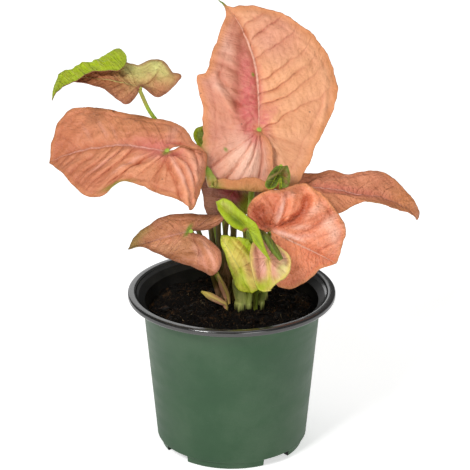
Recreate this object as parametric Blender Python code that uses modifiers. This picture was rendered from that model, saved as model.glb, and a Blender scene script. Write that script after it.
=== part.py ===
"""Potted syngonium: a round nursery pot, its soil and a clump of arrow-shaped leaves on stalks.

Every length in the tables is in millimetres and every angle in degrees. The part stands on Z = 0
with the pot's axis on the Z axis, and its front is towards -Y. The origin is the middle of the
pot's underside.
"""
import math
from dataclasses import dataclass

import bmesh
import bpy
import numpy as np
from mathutils import Vector

MM = 0.001

# Pot: outer sizes and wall
POT_HEIGHT = 84.0
RIM_RADIUS = 53.0
WALL_TOP_RADIUS = 45.0
WALL_FOOT_RADIUS = 38.8
WALL_TOP = 74.0
WALL = 1.3
FOOT_RADIUS = 36.6
FOOT_HEIGHT = 4.8
FOOT_FLARE = 0.6
FOOT_ROUND = 0.4
FLOOR = 1.4
POT_STEPS = 60

# Lip: a flat ring on top of a shoulder that widens from the wall
LIP_WIDTH = 4.2
LIP_ROUND = 1.2
LIP_THICKNESS = 2.6
LIP_OVERHANG = 4.8
SHOULDER_STEP = 0.6
SHOULDER_TOP = 78.6

# Drain notches: cut through the corner between the foot and the floor
NOTCH_COUNT = 4
NOTCH_FIRST_ANGLE = -140.7
NOTCH_WIDTH = 16.5
NOTCH_INNER_RADIUS = 28.0
NOTCH_TOP = 4.6

# Soil: fills the pot to a little below the rim
SOIL_TOP = 74.0
SOIL_CLEARANCE = 0.35
SOIL_BANK = 2.5
SOIL_RINGS = 6
SOIL_STEPS = 36
SOIL_LUMP = 0.8
SOIL_CRUMB = 0.5
HOLE_CLEARANCE = 0.35
HOLE_SIDES = 10

# Leaves and stalks
BLADE_THICKNESS = 0.8
STALK_SIDES_RESOLUTION = 1
STALK_GAP = 0.8
STALK_STRAIGHT = (-12.0, 2.0, 6.0)
STALK_NECK = 3.5

COLLECTION = "potted_syngonium"
CUTTERS = "cutters"

# Base colour and roughness of each finish
FINISHES = {
    "green_plastic": ((0.06, 0.16, 0.09), 0.45),
    "soil": ((0.02, 0.014, 0.01), 0.95),
    "coral_leaf": ((0.72, 0.30, 0.19), 0.50),
    "tan_leaf": ((0.52, 0.25, 0.15), 0.50),
    "pink_leaf": ((0.70, 0.34, 0.26), 0.50),
    "green_leaf": ((0.28, 0.45, 0.05), 0.45),
    "lime_leaf": ((0.55, 0.60, 0.12), 0.45),
    "dark_leaf": ((0.10, 0.22, 0.03), 0.45),
    "green_stalk": ((0.22, 0.34, 0.06), 0.45),
    "pale_stalk": ((0.50, 0.55, 0.28), 0.45),
}


@dataclass
class Roll:
    """What lies further out than `distance` along `bearing` rolls round `radius` by `angle`."""
    distance: float
    bearing: float
    radius: float
    angle: float


@dataclass
class Leaf:
    """One leaf blade, laid out flat round the joint where its stalk meets it.

    The outline is given as (along, across, lift) from the joint: along towards the tip, across
    to the left, lift off the flat blade. It runs from the notch between the back lobes up the
    right edge, over the tip and down the left edge to the notch again.
    """
    name: str
    finish: str
    joint: tuple
    heading: tuple
    facing: tuple
    right: list
    tip: tuple
    left: list
    crease: float = 0.0
    notch: float = 10.0
    curve: float = 1.0
    lift_power: float = 1.7
    ripples: float = 0.0
    ripple_height: float = 0.0
    dome: float = 0.0
    rolls: tuple = ()
    rings: int = 4
    edge_steps: int = 2


@dataclass
class Stalk:
    """A leaf stalk: where it leaves the soil, the points it passes and its radii."""
    foot: tuple
    through: list
    foot_radius: float
    neck_radius: float
    finish: str = "green_stalk"


LEAVES = [
    Leaf("upright_leaf", "coral_leaf", (13.6, 13, 165), (2, 42, 91), (10, -90, 42),
         right=[(-27, -1, -4), (-29, -9, -4), (-28, -18, -3), (-20, -24, -3), (-7, -29, -4), (6, -36, -6),
                (20, -40, -8), (31, -39, -9), (44, -33, -9), (54, -23, -9), (60, -13, -10), (64, -1, -11)],
         tip=(67, 18, -13),
         left=[(51, 20, -5), (39, 24, -1), (29, 27, 2), (25, 32, 3), (16, 30, 2), (6, 28, 1), (-8, 27, 0),
               (-20, 27, 1), (-30, 26, 1), (-38, 21, 1), (-43, 13, 2), (-45, 4, 3),
               (-42, 0.5, 3)],
         crease=0.08, notch=12, lift_power=1.6, ripples=3, ripple_height=0.5,
         rolls=(Roll(34, 164, 5, 105),), rings=5),
    Leaf("left_leaf", "coral_leaf", (-31.6, -7, 161), (-92, 37, 6), (-20, -62, 75),
         right=[(-17, -5.6, -3), (-18, -10, -4), (-11, -14, -5), (-1, -20, -5), (8, -20, -5), (17, -18, -4),
                (38, -18, -5), (58, -17, -7), (64, -9, -7), (64, 3, -7)],
         tip=(62, 15, -9),
         left=[(50, 22, -5), (39, 28, -3), (28, 34, -1), (21, 28, 1), (14, 22, 1), (4, 23, 1),
               (-6, 24, 0), (-16, 24, -3), (-24, 24, -6), (-25, 12, -7), (-25, 2, -8), (-22, -5.2, -7)],
         crease=0.08, notch=10, ripples=5, ripple_height=0.6, rolls=(Roll(8, 180, 14, -45),), rings=5),
    Leaf("low_left_leaf", "tan_leaf", (-20, -14, 121), (-97, 15, -20), (-25, -66, 70),
         right=[(-8, 0, 0), (-12, -3, 0), (-7, -7, 0), (2, -10, -1), (10, -11, -2), (17, -10, -2),
                (25, -7, -3), (30, -4, -4)],
         tip=(35, 2, -7),
         left=[(27, 3, -3), (18, 9, 0), (10, 15, 1), (1, 19, 0), (-6, 23, -2), (-10, 25, -4),
               (-14, 21, -4), (-15, 14, -3), (-12, 9, -1), (-7, 4, 0)],
         crease=0.15),
    Leaf("front_leaf", "coral_leaf", (19.5, -13, 121), (89, -1, -46), (15, -94, 30),
         right=[(7.5, -13.5, 0), (13, -20, 0), (18, -22, 0), (23, -20, -1), (28, -14, -2), (32, -6, -3)],
         tip=(39, 0, -6),
         left=[(37, 4, -2), (36, 10, -1), (35, 16, -2), (29, 21, -1), (20, 26, -2), (13, 28, -2),
               (7, 29, -3), (2, 27, -2), (-4, 22, 1), (-12, 16, 2), (-16, 10, 2), (-13, 3, 1), (-6, 0, 1)],
         crease=0.12, dome=1.5, rings=5),
    Leaf("right_leaf", "coral_leaf", (30.4, 10, 137), (99, 0, -13), (12, -31, 94),
         right=[(3, -7, -2), (14, -13, -4), (25, -15, -3), (33, -9, -1), (40, -8, 1), (49, -8, 0),
                (57, -3, -1), (65, 0.5, -1)],
         tip=(73, 3.4, -2),
         left=[(72.5, 7, 0), (66, 7.6, 1), (56, 10, 2), (48, 15, 3), (42, 16.5, 2), (35, 15, 1), (28, 13, 0),
               (20, 14, 1), (11, 9, 1), (4, 10, 0), (-2, 8, -2), (-3, 5, -3)],
         crease=0.08, rolls=(Roll(40, 0, 34, -50),), rings=5),
    Leaf("top_left_leaf", "tan_leaf", (-45, 6, 190), (-71, 59, 39), (5, -50, 86),
         right=[(-5, -1.5, -2), (-9, -4, -4), (-10, -10, -4), (-10.5, -16, -2), (-9.5, -19, 0), (-5, -17, 0),
                (2, -18, 2), (8, -15, 0), (12, -9, -1), (17, -6, 0), (24, -6, 0), (34, -5, 0), (41, -1, 0),
                (42, 5, 0), (42, 14, 0), (44, 22, 0), (49, 28, 0)],
         tip=(57, 34, 0),
         left=[(46, 31, 0), (34, 26, 0), (25, 22, 0), (16, 17, 0), (9, 14.5, 0), (3, 13, -2),
               (-1, 11, -4), (-1.5, 7, -4), (-1.5, 3, -2)],
         crease=0.08, curve=0, rolls=(Roll(25.6, -10.8, 3.2, 160),), rings=10),
    Leaf("shaded_leaf", "tan_leaf", (4.2, 17, 136), (-60, -6, -80), (-15, -97, 18),
         right=[(-6, 4, 0), (-6, 10, 0), (0, 14, 0), (5, 10, 0), (10, 6, 0), (18, 6, 0)],
         tip=(25, 3, 0),
         left=[(24, -3, 0), (18, -10, 0), (12, -15, 0), (3, -14, 0), (-3, -9, 0), (-3, -4, 0)],
         crease=0.15, rings=3),
    Leaf("back_leaf", "green_leaf", (0, 27, 155), (19, 56, 81), (-10, -81, 58),
         right=[(-10, -5, -2), (-11, -11, -3), (-3, -16, -2), (13, -15, -1), (26, -10, -2), (36, -3, -4)],
         tip=(41, 2, -7),
         left=[(32, 7, -4), (21, 12, -2), (7, 14, 0), (2, 19, 0), (-3, 19, 0), (-8, 14, -1),
               (-12, 5, -2), (-11, 0, -2)],
         crease=0.15),
    Leaf("green_leaf", "green_leaf", (8, -24, 126.4), (-72, 42, 56), (-30, -90, 30),
         right=[(-6, 2.5, 0), (-19, 3, 0), (-14, 0, 2), (-3, -5, 2), (3, -5, 2), (9, -5, 2), (14, -5, 2),
                (19, -3, 1)],
         tip=(21, 1, 0),
         left=[(17, 3, 1), (9, 4, 2), (3, 3, 2), (0, 2, 1)],
         crease=0.2),
    Leaf("lime_leaf", "lime_leaf", (4.2, -16, 102.3), (-49, 33, 81), (-30, -93, 20),
         right=[(-12, 2, -1), (-10, -3, 0), (-7, -7, 1), (0, -9, 2), (7, -9, 2), (13, -8, 2), (17, -4, 1)],
         tip=(19, 0, 0),
         left=[(16, 2, 0), (10, 3, 1), (5, 4, 1), (-1, 5, 0), (-8, 4, -1)],
         crease=0.3, rings=3),
    Leaf("cupped_leaf", "pink_leaf", (18, -24, 111), (-22, 32, 92), (10, -93, 35),
         right=[(-11, 0, 1), (-11, -5, 3), (-7, -9, 4), (-1, -10, 3), (4, -7, 1), (7, -4, 0)],
         tip=(11, 1, 0),
         left=[(9, 6, 1), (4, 9, 2), (-3, 11, 3), (-10, 13, 3), (-16, 9, 2), (-15, 4, 1)],
         crease=0.1, notch=6, rings=3),
    Leaf("hooded_leaf", "dark_leaf", (24.4, -6, 152.7), (-42, -63, -66), (10, -75, 65),
         right=[(-1, 3, 1), (4, 6, 2), (9, 8, 1), (12, 5, 0)],
         tip=(14, 0, 0),
         left=[(12.5, -3, 1), (6, -3, 1), (1, -2, 0)],
         crease=0.2, notch=6, rings=3),
]

STALKS = {
    "upright_leaf": Stalk((9, 4), [(9, 4, 100), (9, 3.5, 120), (11, 9, 145), (12.8, 18, 160)], 1.9, 1.2),
    "left_leaf": Stalk((-2, 12.5), [(-6, 15, 90), (-9.5, 22, 112), (-13, 24, 131), (-24, 12, 149)], 1.5, 1.1),
    "top_left_leaf": Stalk((1.5, 7.5), [(-2, 14, 95), (-5, 25, 118), (-14, 29, 140), (-30, 22, 158),
                                        (-40, 14, 173)], 1.5, 1.0),
    "low_left_leaf": Stalk((-4.5, 8.5), [(-7, 4, 89), (-13, -5, 107)], 1.4, 1.0),
    "front_leaf": Stalk((14, 3), [(16.5, 0, 92), (18.5, -4, 112)], 1.5, 1.1),
    "right_leaf": Stalk((16.5, 8), [(18, 11, 100), (26, 14, 125)], 1.6, 1.1),
    "shaded_leaf": Stalk((5, 13.5), [(1, 20, 102), (0, 24, 124)], 1.3, 1.0),
    "back_leaf": Stalk((8.5, 11.5), [(7, 20, 105), (2, 29, 135)], 1.4, 1.0),
    "green_leaf": Stalk((9, -4.5), [(10.5, -7, 95), (10, -11, 112)], 1.2, 0.9),
    "lime_leaf": Stalk((5, -3.5), [(3, -6, 87), (2.5, -9.5, 93)], 2.6, 1.6, "pale_stalk"),
    "cupped_leaf": Stalk((15, -3.5), [(16, -9, 86), (16, -17, 95)], 1.3, 1.0),
    "hooded_leaf": Stalk((12.5, 8), [(17, 4, 105), (24, -3.5, 133)], 1.2, 0.9),
}

# Leaves that are still rolled up, each in one piece with its stalk: (x, y, z, radius)
SHOOTS = {
    "rolled_leaf": ("dark_leaf", [
        (12, -7, 62, 1.0), (12, -7, 76, 1.0), (12, -7.2, 80, 1.0), (12.5, -8.5, 95, 1.0), (13, -13, 114, 1.0),
        (13, -18, 123.5, 1.2), (16, -24.5, 125, 1.9), (20.5, -30, 117.5, 2.2), (25.5, -33.5, 107.5, 1.2)]),
    "sprout": ("pink_leaf", [
        (-3.2, -2, 62, 1.0), (-3.2, -2, 75, 1.0), (-5.5, -2, 77.5, 1.5), (-11, -1.5, 80.5, 1.8),
        (-15.5, -1, 83, 0.3)]),
}


def clear_scene():
    for thing in list(bpy.data.objects):
        bpy.data.objects.remove(thing, do_unlink=True)


def new_collection(name):
    group = bpy.data.collections.new(name)
    bpy.context.scene.collection.children.link(group)
    return group


def finish(name):
    """The Principled material of one finish, made once."""
    material = bpy.data.materials.get(name)
    if material is None:
        colour, roughness = FINISHES[name]
        material = bpy.data.materials.new(name)
        material.use_nodes = True
        shader = material.node_tree.nodes["Principled BSDF"]
        shader.inputs["Base Color"].default_value = (*colour, 1.0)
        shader.inputs["Roughness"].default_value = roughness
    return material


def add_object(name, data, group, finish_name=None):
    thing = bpy.data.objects.new(name, data)
    group.objects.link(thing)
    if finish_name:
        data.materials.append(finish(finish_name))
    return thing


def smooth(mesh):
    mesh.shade_smooth()
    mesh.set_sharp_from_angle(angle=math.radians(40))


def turned_mesh(name, profile, steps):
    """A solid of revolution from a profile of (radius, height), both ends on the axis."""
    mesh = bpy.data.meshes.new(name)
    points = [(radius * MM, 0, height * MM) for radius, height in profile]
    mesh.from_pydata(points, [(i, i + 1) for i in range(len(points) - 1)], [])
    thing = bpy.data.objects.new(name, mesh)
    bpy.context.scene.collection.objects.link(thing)
    screw = thing.modifiers.new("turn", "SCREW")
    screw.axis = "Z"
    screw.steps = screw.render_steps = steps
    screw.use_merge_vertices = True
    screw.merge_threshold = 0.00001
    evaluated = thing.evaluated_get(bpy.context.evaluated_depsgraph_get())
    turned = bpy.data.meshes.new_from_object(evaluated)
    bpy.data.objects.remove(thing, do_unlink=True)
    return turned


def wall_radius(height, inset=0.0):
    """Outer radius of the tapered wall at a height, less an inset."""
    rise = (height - FOOT_HEIGHT) / (WALL_TOP - FOOT_HEIGHT)
    return WALL_FOOT_RADIUS + (WALL_TOP_RADIUS - WALL_FOOT_RADIUS) * rise - inset


def inner_profile(inset, floor):
    """The pot's inside from the middle of the floor up to the top of the wall."""
    foot_in = FOOT_RADIUS - WALL - inset
    return [(0, floor), (foot_in, floor), (foot_in + FOOT_FLARE, FOOT_HEIGHT + inset),
            (wall_radius(FOOT_HEIGHT + WALL, WALL + inset), FOOT_HEIGHT + WALL + inset)]


def build_pot(group, cutters):
    """The moulded pot with its rolled lip, stepped foot and four drain notches."""
    lip_in = RIM_RADIUS - LIP_WIDTH
    lip_under = POT_HEIGHT - LIP_THICKNESS
    inside = inner_profile(0.0, FLOOR) + [
        (WALL_TOP_RADIUS - WALL, WALL_TOP),
        (WALL_TOP_RADIUS + SHOULDER_STEP - WALL, SHOULDER_TOP + WALL / 4),
        (lip_in - WALL, POT_HEIGHT - 2 * LIP_ROUND)]
    lip = [(lip_in, POT_HEIGHT - LIP_ROUND / 2), (lip_in + LIP_ROUND / 2, POT_HEIGHT),
           (RIM_RADIUS - LIP_ROUND / 2, POT_HEIGHT - LIP_ROUND / 12), (RIM_RADIUS, POT_HEIGHT - LIP_ROUND),
           (RIM_RADIUS - LIP_ROUND / 3, lip_under)]
    outside = [(RIM_RADIUS - LIP_OVERHANG, lip_under - LIP_ROUND / 3),
               (WALL_TOP_RADIUS + SHOULDER_STEP, SHOULDER_TOP),
               (WALL_TOP_RADIUS, WALL_TOP), (WALL_FOOT_RADIUS, FOOT_HEIGHT),
               (FOOT_RADIUS + FOOT_FLARE, FOOT_HEIGHT - FOOT_ROUND), (FOOT_RADIUS, FOOT_ROUND),
               (FOOT_RADIUS - FOOT_ROUND, 0), (0, 0)]
    mesh = turned_mesh("pot", inside + lip + outside, POT_STEPS)
    pot = add_object("pot", mesh, group, "green_plastic")
    for number in range(NOTCH_COUNT):
        angle = math.radians(NOTCH_FIRST_ANGLE + 360 / NOTCH_COUNT * number)
        reach = RIM_RADIUS - NOTCH_INNER_RADIUS
        middle = NOTCH_INNER_RADIUS + reach / 2
        bpy.ops.mesh.primitive_cube_add(size=1)
        cutter = bpy.context.object
        cutter.name = f"drain_notch_{number + 1}"
        cutter.scale = (reach * MM, NOTCH_WIDTH * MM, 2 * NOTCH_TOP * MM)
        cutter.location = (middle * MM * math.cos(angle), middle * MM * math.sin(angle), 0)
        cutter.rotation_euler = (0, 0, angle)
        add_cut(pot, cutter, cutters)
    smooth(mesh)


def add_cut(thing, cutter, cutters):
    """Moves a cutter to its own collection and takes it out of the object."""
    for owner in list(cutter.users_collection):
        owner.objects.unlink(cutter)
    cutters.objects.link(cutter)
    cutter.hide_render = True
    cutter.display_type = "WIRE"
    cut = thing.modifiers.new(cutter.name, "BOOLEAN")
    cut.operation = "DIFFERENCE"
    cut.solver = "EXACT"
    cut.object = cutter


def soil_height(x, y):
    """Height of the lumpy soil at a place, in millimetres."""
    lumps = math.sin(0.17 * x + 0.6) * math.cos(0.15 * y - 0.3)
    crumbs = math.sin(0.52 * x - 0.31 * y + 1.1) * math.sin(0.37 * x + 0.49 * y)
    return SOIL_TOP + SOIL_LUMP * lumps + SOIL_CRUMB * crumbs


def stalk_feet():
    """(x, y, radius) of every stalk where it goes into the soil."""
    feet = [(*stalk.foot, stalk.foot_radius) for stalk in STALKS.values()]
    feet += [(x, y, radius) for _, ((x, y, _, radius), *_) in SHOOTS.values()]
    return feet


def build_soil(group, cutters):
    """The soil that fills the pot, with a plain hole for each stalk."""
    bottom = inner_profile(SOIL_CLEARANCE, FLOOR + SOIL_CLEARANCE)
    edge = wall_radius(SOIL_TOP - SOIL_BANK, WALL + SOIL_CLEARANCE)
    rings = [edge * ring / SOIL_RINGS for ring in range(SOIL_RINGS)]
    top = [(edge, SOIL_TOP - SOIL_BANK)] + [(radius, SOIL_TOP) for radius in reversed(rings)]
    mesh = turned_mesh("soil", list(reversed(bottom + top)), SOIL_STEPS)
    lowest_top = (SOIL_TOP - 0.5) * MM
    for vertex in mesh.vertices:
        if vertex.co.z > lowest_top:
            vertex.co.z = soil_height(vertex.co.x / MM, vertex.co.y / MM) * MM
    soil = add_object("soil", mesh, group, "soil")
    for number, (x, y, radius) in enumerate(stalk_feet()):
        bpy.ops.mesh.primitive_cylinder_add(vertices=HOLE_SIDES, depth=1, radius=1)
        cutter = bpy.context.object
        cutter.name = f"stalk_hole_{number + 1}"
        wide = (radius + HOLE_CLEARANCE) / math.cos(math.pi / HOLE_SIDES) * MM
        deep = 2 * (SOIL_CLEARANCE - STALK_STRAIGHT[0]) * MM
        cutter.scale = (wide, wide, deep)
        cutter.location = (x * MM, y * MM, SOIL_TOP * MM)
        add_cut(soil, cutter, cutters)


def spline_points(points, steps):
    """A smooth curve through the points, with `steps` pieces between neighbours."""
    p = np.asarray(points, float)
    if steps == 1 or len(p) < 3:
        return p
    ends = np.vstack([2 * p[0] - p[1], p, 2 * p[-1] - p[-2]])
    curve = []
    for a, b, c, d in zip(ends, ends[1:], ends[2:], ends[3:]):
        for s in np.arange(steps) / steps:
            curve.append(0.5 * (2 * b + (c - a) * s + (2 * a - 5 * b + 4 * c - d) * s ** 2
                                + (3 * b - a - 3 * c + d) * s ** 3))
    return np.array(curve + [p[-1]])


def roll_sheet(x, y, z, roll):
    """Rolls what lies beyond a line up (angle > 0) or down (angle < 0)."""
    bearing = math.radians(roll.bearing)
    cos_b, sin_b = math.cos(bearing), math.sin(bearing)
    ahead, aside = x * cos_b + y * sin_b, y * cos_b - x * sin_b
    over = np.maximum(ahead - roll.distance, 0)
    side = math.copysign(1, roll.angle)
    turn = np.minimum(over / roll.radius, abs(math.radians(roll.angle)))
    rest = over - turn * roll.radius
    arm = roll.radius - side * z
    rolled_ahead = roll.distance + arm * np.sin(turn) + rest * np.cos(turn)
    rolled_up = side * (roll.radius - arm * np.cos(turn) + rest * np.sin(turn))
    ahead = np.where(over > 0, rolled_ahead, ahead)
    z = np.where(over > 0, rolled_up, z)
    return ahead * cos_b - aside * sin_b, ahead * sin_b + aside * cos_b, z


def leaf_axes(leaf):
    """Unit vectors towards the tip, to the left and out of the upper face."""
    up = np.array(leaf.facing, float)
    up /= np.linalg.norm(up)
    ahead = np.array(leaf.heading, float)
    ahead -= up * (ahead @ up)
    ahead /= np.linalg.norm(ahead)
    return ahead, np.cross(up, ahead), up


def leaf_surface(leaf):
    """Points of the blade's middle surface: rows run round the edge, columns out from the joint."""
    right = spline_points(leaf.right + [leaf.tip], leaf.edge_steps)
    left = spline_points([leaf.tip] + leaf.left, leaf.edge_steps)
    edge = np.vstack([right, left[1:]])
    reach = np.hypot(edge[:, 0], edge[:, 1])[:, None]
    bearing = np.unwrap(np.arctan2(edge[:, 1], edge[:, 0]))
    tip_bearing = math.atan2(leaf.tip[1], leaf.tip[0])
    bearing += 2 * math.pi * round((tip_bearing - bearing[len(right) - 1]) / (2 * math.pi))
    bearing = bearing[:, None]
    out = (np.arange(leaf.rings + 1) / leaf.rings)[None] ** 0.9
    round_the_edge = np.linspace(0, 1, len(edge))[:, None]
    off_tip = bearing - tip_bearing

    # Rays curve with the midrib near the tip, and away from the notch near the joint
    near_tip = (1 + np.cos(off_tip)) / 2
    near_notch = ((1 - np.cos(off_tip)) / 2) ** 2
    curved = bearing - leaf.curve * tip_bearing * (1 - out ** 2) * near_tip
    curved = curved - math.radians(leaf.notch) * (1 - out) ** 2 * near_notch * np.sign(off_tip)
    x, y = reach * out * np.cos(curved), reach * out * np.sin(curved)

    z = edge[:, 2:3] * out ** leaf.lift_power
    z = z + leaf.crease * reach * out * np.abs(np.sin(off_tip / 2))
    z = z + leaf.ripple_height * out ** 3 * np.sin(2 * math.pi * leaf.ripples * round_the_edge + 0.7)
    z = z + leaf.dome * np.sin(math.pi * out) * reach / reach.max()
    for roll in leaf.rolls:
        x, y, z = roll_sheet(x, y, z, roll)
    ahead, aside, up = leaf_axes(leaf)
    return np.array(leaf.joint, float) + x[..., None] * ahead + y[..., None] * aside + z[..., None] * up


def build_leaf(leaf, group):
    """A grid bent to the blade's surface, closed at the joint and thickened."""
    points = leaf_surface(leaf)
    rows, columns = points.shape[:2]
    mesh = bpy.data.meshes.new(leaf.name)
    grid = bmesh.new()
    bmesh.ops.create_grid(grid, x_segments=rows - 1, y_segments=columns - 1, size=1)
    for vertex in grid.verts:
        row = round((vertex.co.x + 1) / 2 * (rows - 1))
        column = round((vertex.co.y + 1) / 2 * (columns - 1))
        vertex.co = Vector(points[row, column]) * MM
    bmesh.ops.remove_doubles(grid, verts=grid.verts, dist=0.000001)
    bmesh.ops.triangulate(grid, faces=grid.faces, quad_method="FIXED")
    grid.to_mesh(mesh)
    grid.free()
    blade = add_object(leaf.name, mesh, group, leaf.finish)
    thicken = blade.modifiers.new("thickness", "SOLIDIFY")
    thicken.thickness = BLADE_THICKNESS * MM
    thicken.offset = 0
    smooth(mesh)


def build_tube(name, points, finish_name, group):
    """A bevelled curve through (x, y, z, radius) points, with closed ends."""
    curve = bpy.data.curves.new(name, "CURVE")
    curve.dimensions = "3D"
    curve.bevel_depth = MM
    curve.bevel_resolution = STALK_SIDES_RESOLUTION
    curve.use_fill_caps = True
    spline = curve.splines.new("POLY")
    spline.points.add(len(points) - 1)
    for place, (x, y, z, radius) in zip(spline.points, points):
        place.co = (x * MM, y * MM, z * MM, 1)
        place.radius = radius
    add_object(name, curve, group, finish_name)


def build_stalk(leaf, stalk, group):
    """A stalk from its hole in the soil up to just short of the blade's underside."""
    joint = np.array(leaf.joint, float)
    up = leaf_axes(leaf)[2]
    foot = [(*stalk.foot, SOIL_TOP + height) for height in STALK_STRAIGHT]
    path = spline_points(foot + stalk.through + [tuple(joint - up * STALK_NECK)], 2)
    path = np.vstack([path, joint - up * STALK_GAP])
    taper = np.clip(np.linspace(-0.4, 1.2, len(path)), 0, 1)
    radii = stalk.foot_radius + (stalk.neck_radius - stalk.foot_radius) * taper
    points = [(*place, radius) for place, radius in zip(path, radii)]
    build_tube(leaf.name.replace("_leaf", "_stalk"), points, stalk.finish, group)


def main():
    clear_scene()
    plant = new_collection(COLLECTION)
    cutters = new_collection(CUTTERS)
    build_pot(plant, cutters)
    build_soil(plant, cutters)
    for leaf in LEAVES:
        build_leaf(leaf, plant)
        build_stalk(leaf, STALKS[leaf.name], plant)
    for name, (finish_name, points) in SHOOTS.items():
        build_tube(name, spline_points(points, 2), finish_name, plant)


main()
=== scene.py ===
"""Looks of a potted syngonium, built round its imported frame: leaves, stalks, soil, pot and studio.

Tables are in millimetres and degrees, and the meshes in metres. The pot stands on Z = 0 with its
axis on the Z axis, and its front is towards -Y. Each leaf is drawn flat as (along, across, lift)
from the joint with its stalk: along towards the tip, across to the left, lift off the flat blade.
"""

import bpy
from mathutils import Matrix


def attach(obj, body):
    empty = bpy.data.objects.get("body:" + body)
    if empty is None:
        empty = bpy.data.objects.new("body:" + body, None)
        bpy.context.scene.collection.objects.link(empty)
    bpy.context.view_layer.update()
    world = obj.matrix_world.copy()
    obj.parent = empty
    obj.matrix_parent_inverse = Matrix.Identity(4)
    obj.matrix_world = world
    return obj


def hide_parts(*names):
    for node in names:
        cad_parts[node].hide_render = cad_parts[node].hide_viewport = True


bl_info = {
    "name": "Potted syngonium",
    "version": (1, 0, 0),
    "blender": (4, 5, 0),
    "location": "3D View > Sidebar > Syngonium",
    "description": "Veined leaves, stalks, soil and nursery pot of a syngonium, with a small studio",
    "category": "Add Mesh",
}

import math
import random
from dataclasses import dataclass, field

import bmesh
import bpy
import numpy as np
from bpy.props import EnumProperty, FloatProperty, FloatVectorProperty, IntProperty, PointerProperty
from mathutils import Vector, noise

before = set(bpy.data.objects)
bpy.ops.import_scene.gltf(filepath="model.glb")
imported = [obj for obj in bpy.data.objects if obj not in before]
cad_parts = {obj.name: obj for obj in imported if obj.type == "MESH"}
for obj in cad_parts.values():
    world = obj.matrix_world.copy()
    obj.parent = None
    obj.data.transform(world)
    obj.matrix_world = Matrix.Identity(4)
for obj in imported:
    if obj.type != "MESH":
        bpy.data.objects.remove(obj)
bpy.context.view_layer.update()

MM = 0.001
BODY = "root"
FULL_TURN = 2 * math.pi


# Settings

def srgb(code):
    """Scene colour of a six-digit screen colour."""
    levels = [int(code[place:place + 2], 16) / 255 for place in (0, 2, 4)]
    return tuple(v / 12.92 if v <= 0.04045 else ((v + 0.055) / 1.055) ** 2.4 for v in levels)


def colour(name, description, code):
    return FloatVectorProperty(name=name, description=description, subtype="COLOR", size=3,
                               min=0, max=1, default=srgb(code))


def size(name, description, millimetres, high=500.0):
    return FloatProperty(name=name, description=description, subtype="DISTANCE", unit="LENGTH",
                         precision=4, default=millimetres * MM, min=0, max=high * MM)


def share(name, description, default, high=1.0):
    return FloatProperty(name=name, description=description, subtype="FACTOR", default=default,
                         min=0, max=high)


def count(name, description, default, high=2000):
    return IntProperty(name=name, description=description, default=default, min=0, max=high)


def power(name, description, watts):
    return FloatProperty(name=name, description=description, subtype="POWER", unit="POWER",
                         default=watts, min=0)


class SYNGONIUM_PG_pot(bpy.types.PropertyGroup):
    rim_radius: size("Rim radius", "Outside of the lip", 53.0)
    height: size("Height", "From the floor to the top of the lip", 84.0)
    wall_top_radius: size("Wall radius, top", "Outside of the wall under its shoulder", 45.0)
    wall_foot_radius: size("Wall radius, foot", "Outside of the wall above its foot", 38.8)
    wall: size("Wall", "Thickness of the plastic", 1.3)
    notch_width: size("Notch width", "Width of one drain notch", 16.5)
    steps: count("Steps", "Pieces round the pot", 160)
    green: colour("Green plastic", "Outside of the wall", "314F35")
    black: colour("Black plastic", "Lip and inside", "0C0C0B")


class SYNGONIUM_PG_soil(bpy.types.PropertyGroup):
    top: size("Soil height", "Mean height of the soil", 74.0)
    lump: size("Lumps", "Height of the larger clods", 3.0)
    crumb: size("Crumbs", "Height of the finer crumbs", 1.7)
    step: size("Mesh step", "Distance between points of the soil", 0.62)
    chips: count("Bark chips", "Chips lying on the soil", 240)
    fibres: count("Fibres", "Loose fibres in the soil", 230)
    # Dark and dry peat follow the crumbs' relief, so besides the peat's own tones they paint shade in the
    # hollows and light on the tops
    dark: colour("Dark peat", "Hollows of the soil", "070402")
    light: colour("Dry peat", "Tops of the crumbs", "6B4A2B")
    bark: colour("Bark", "Bark chips", "6A4A33")
    fibre: colour("Fibre", "Loose fibres", "EFD3A2")
    root: colour("Root", "Dark parts of the fibres", "3B2A1C")


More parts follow.
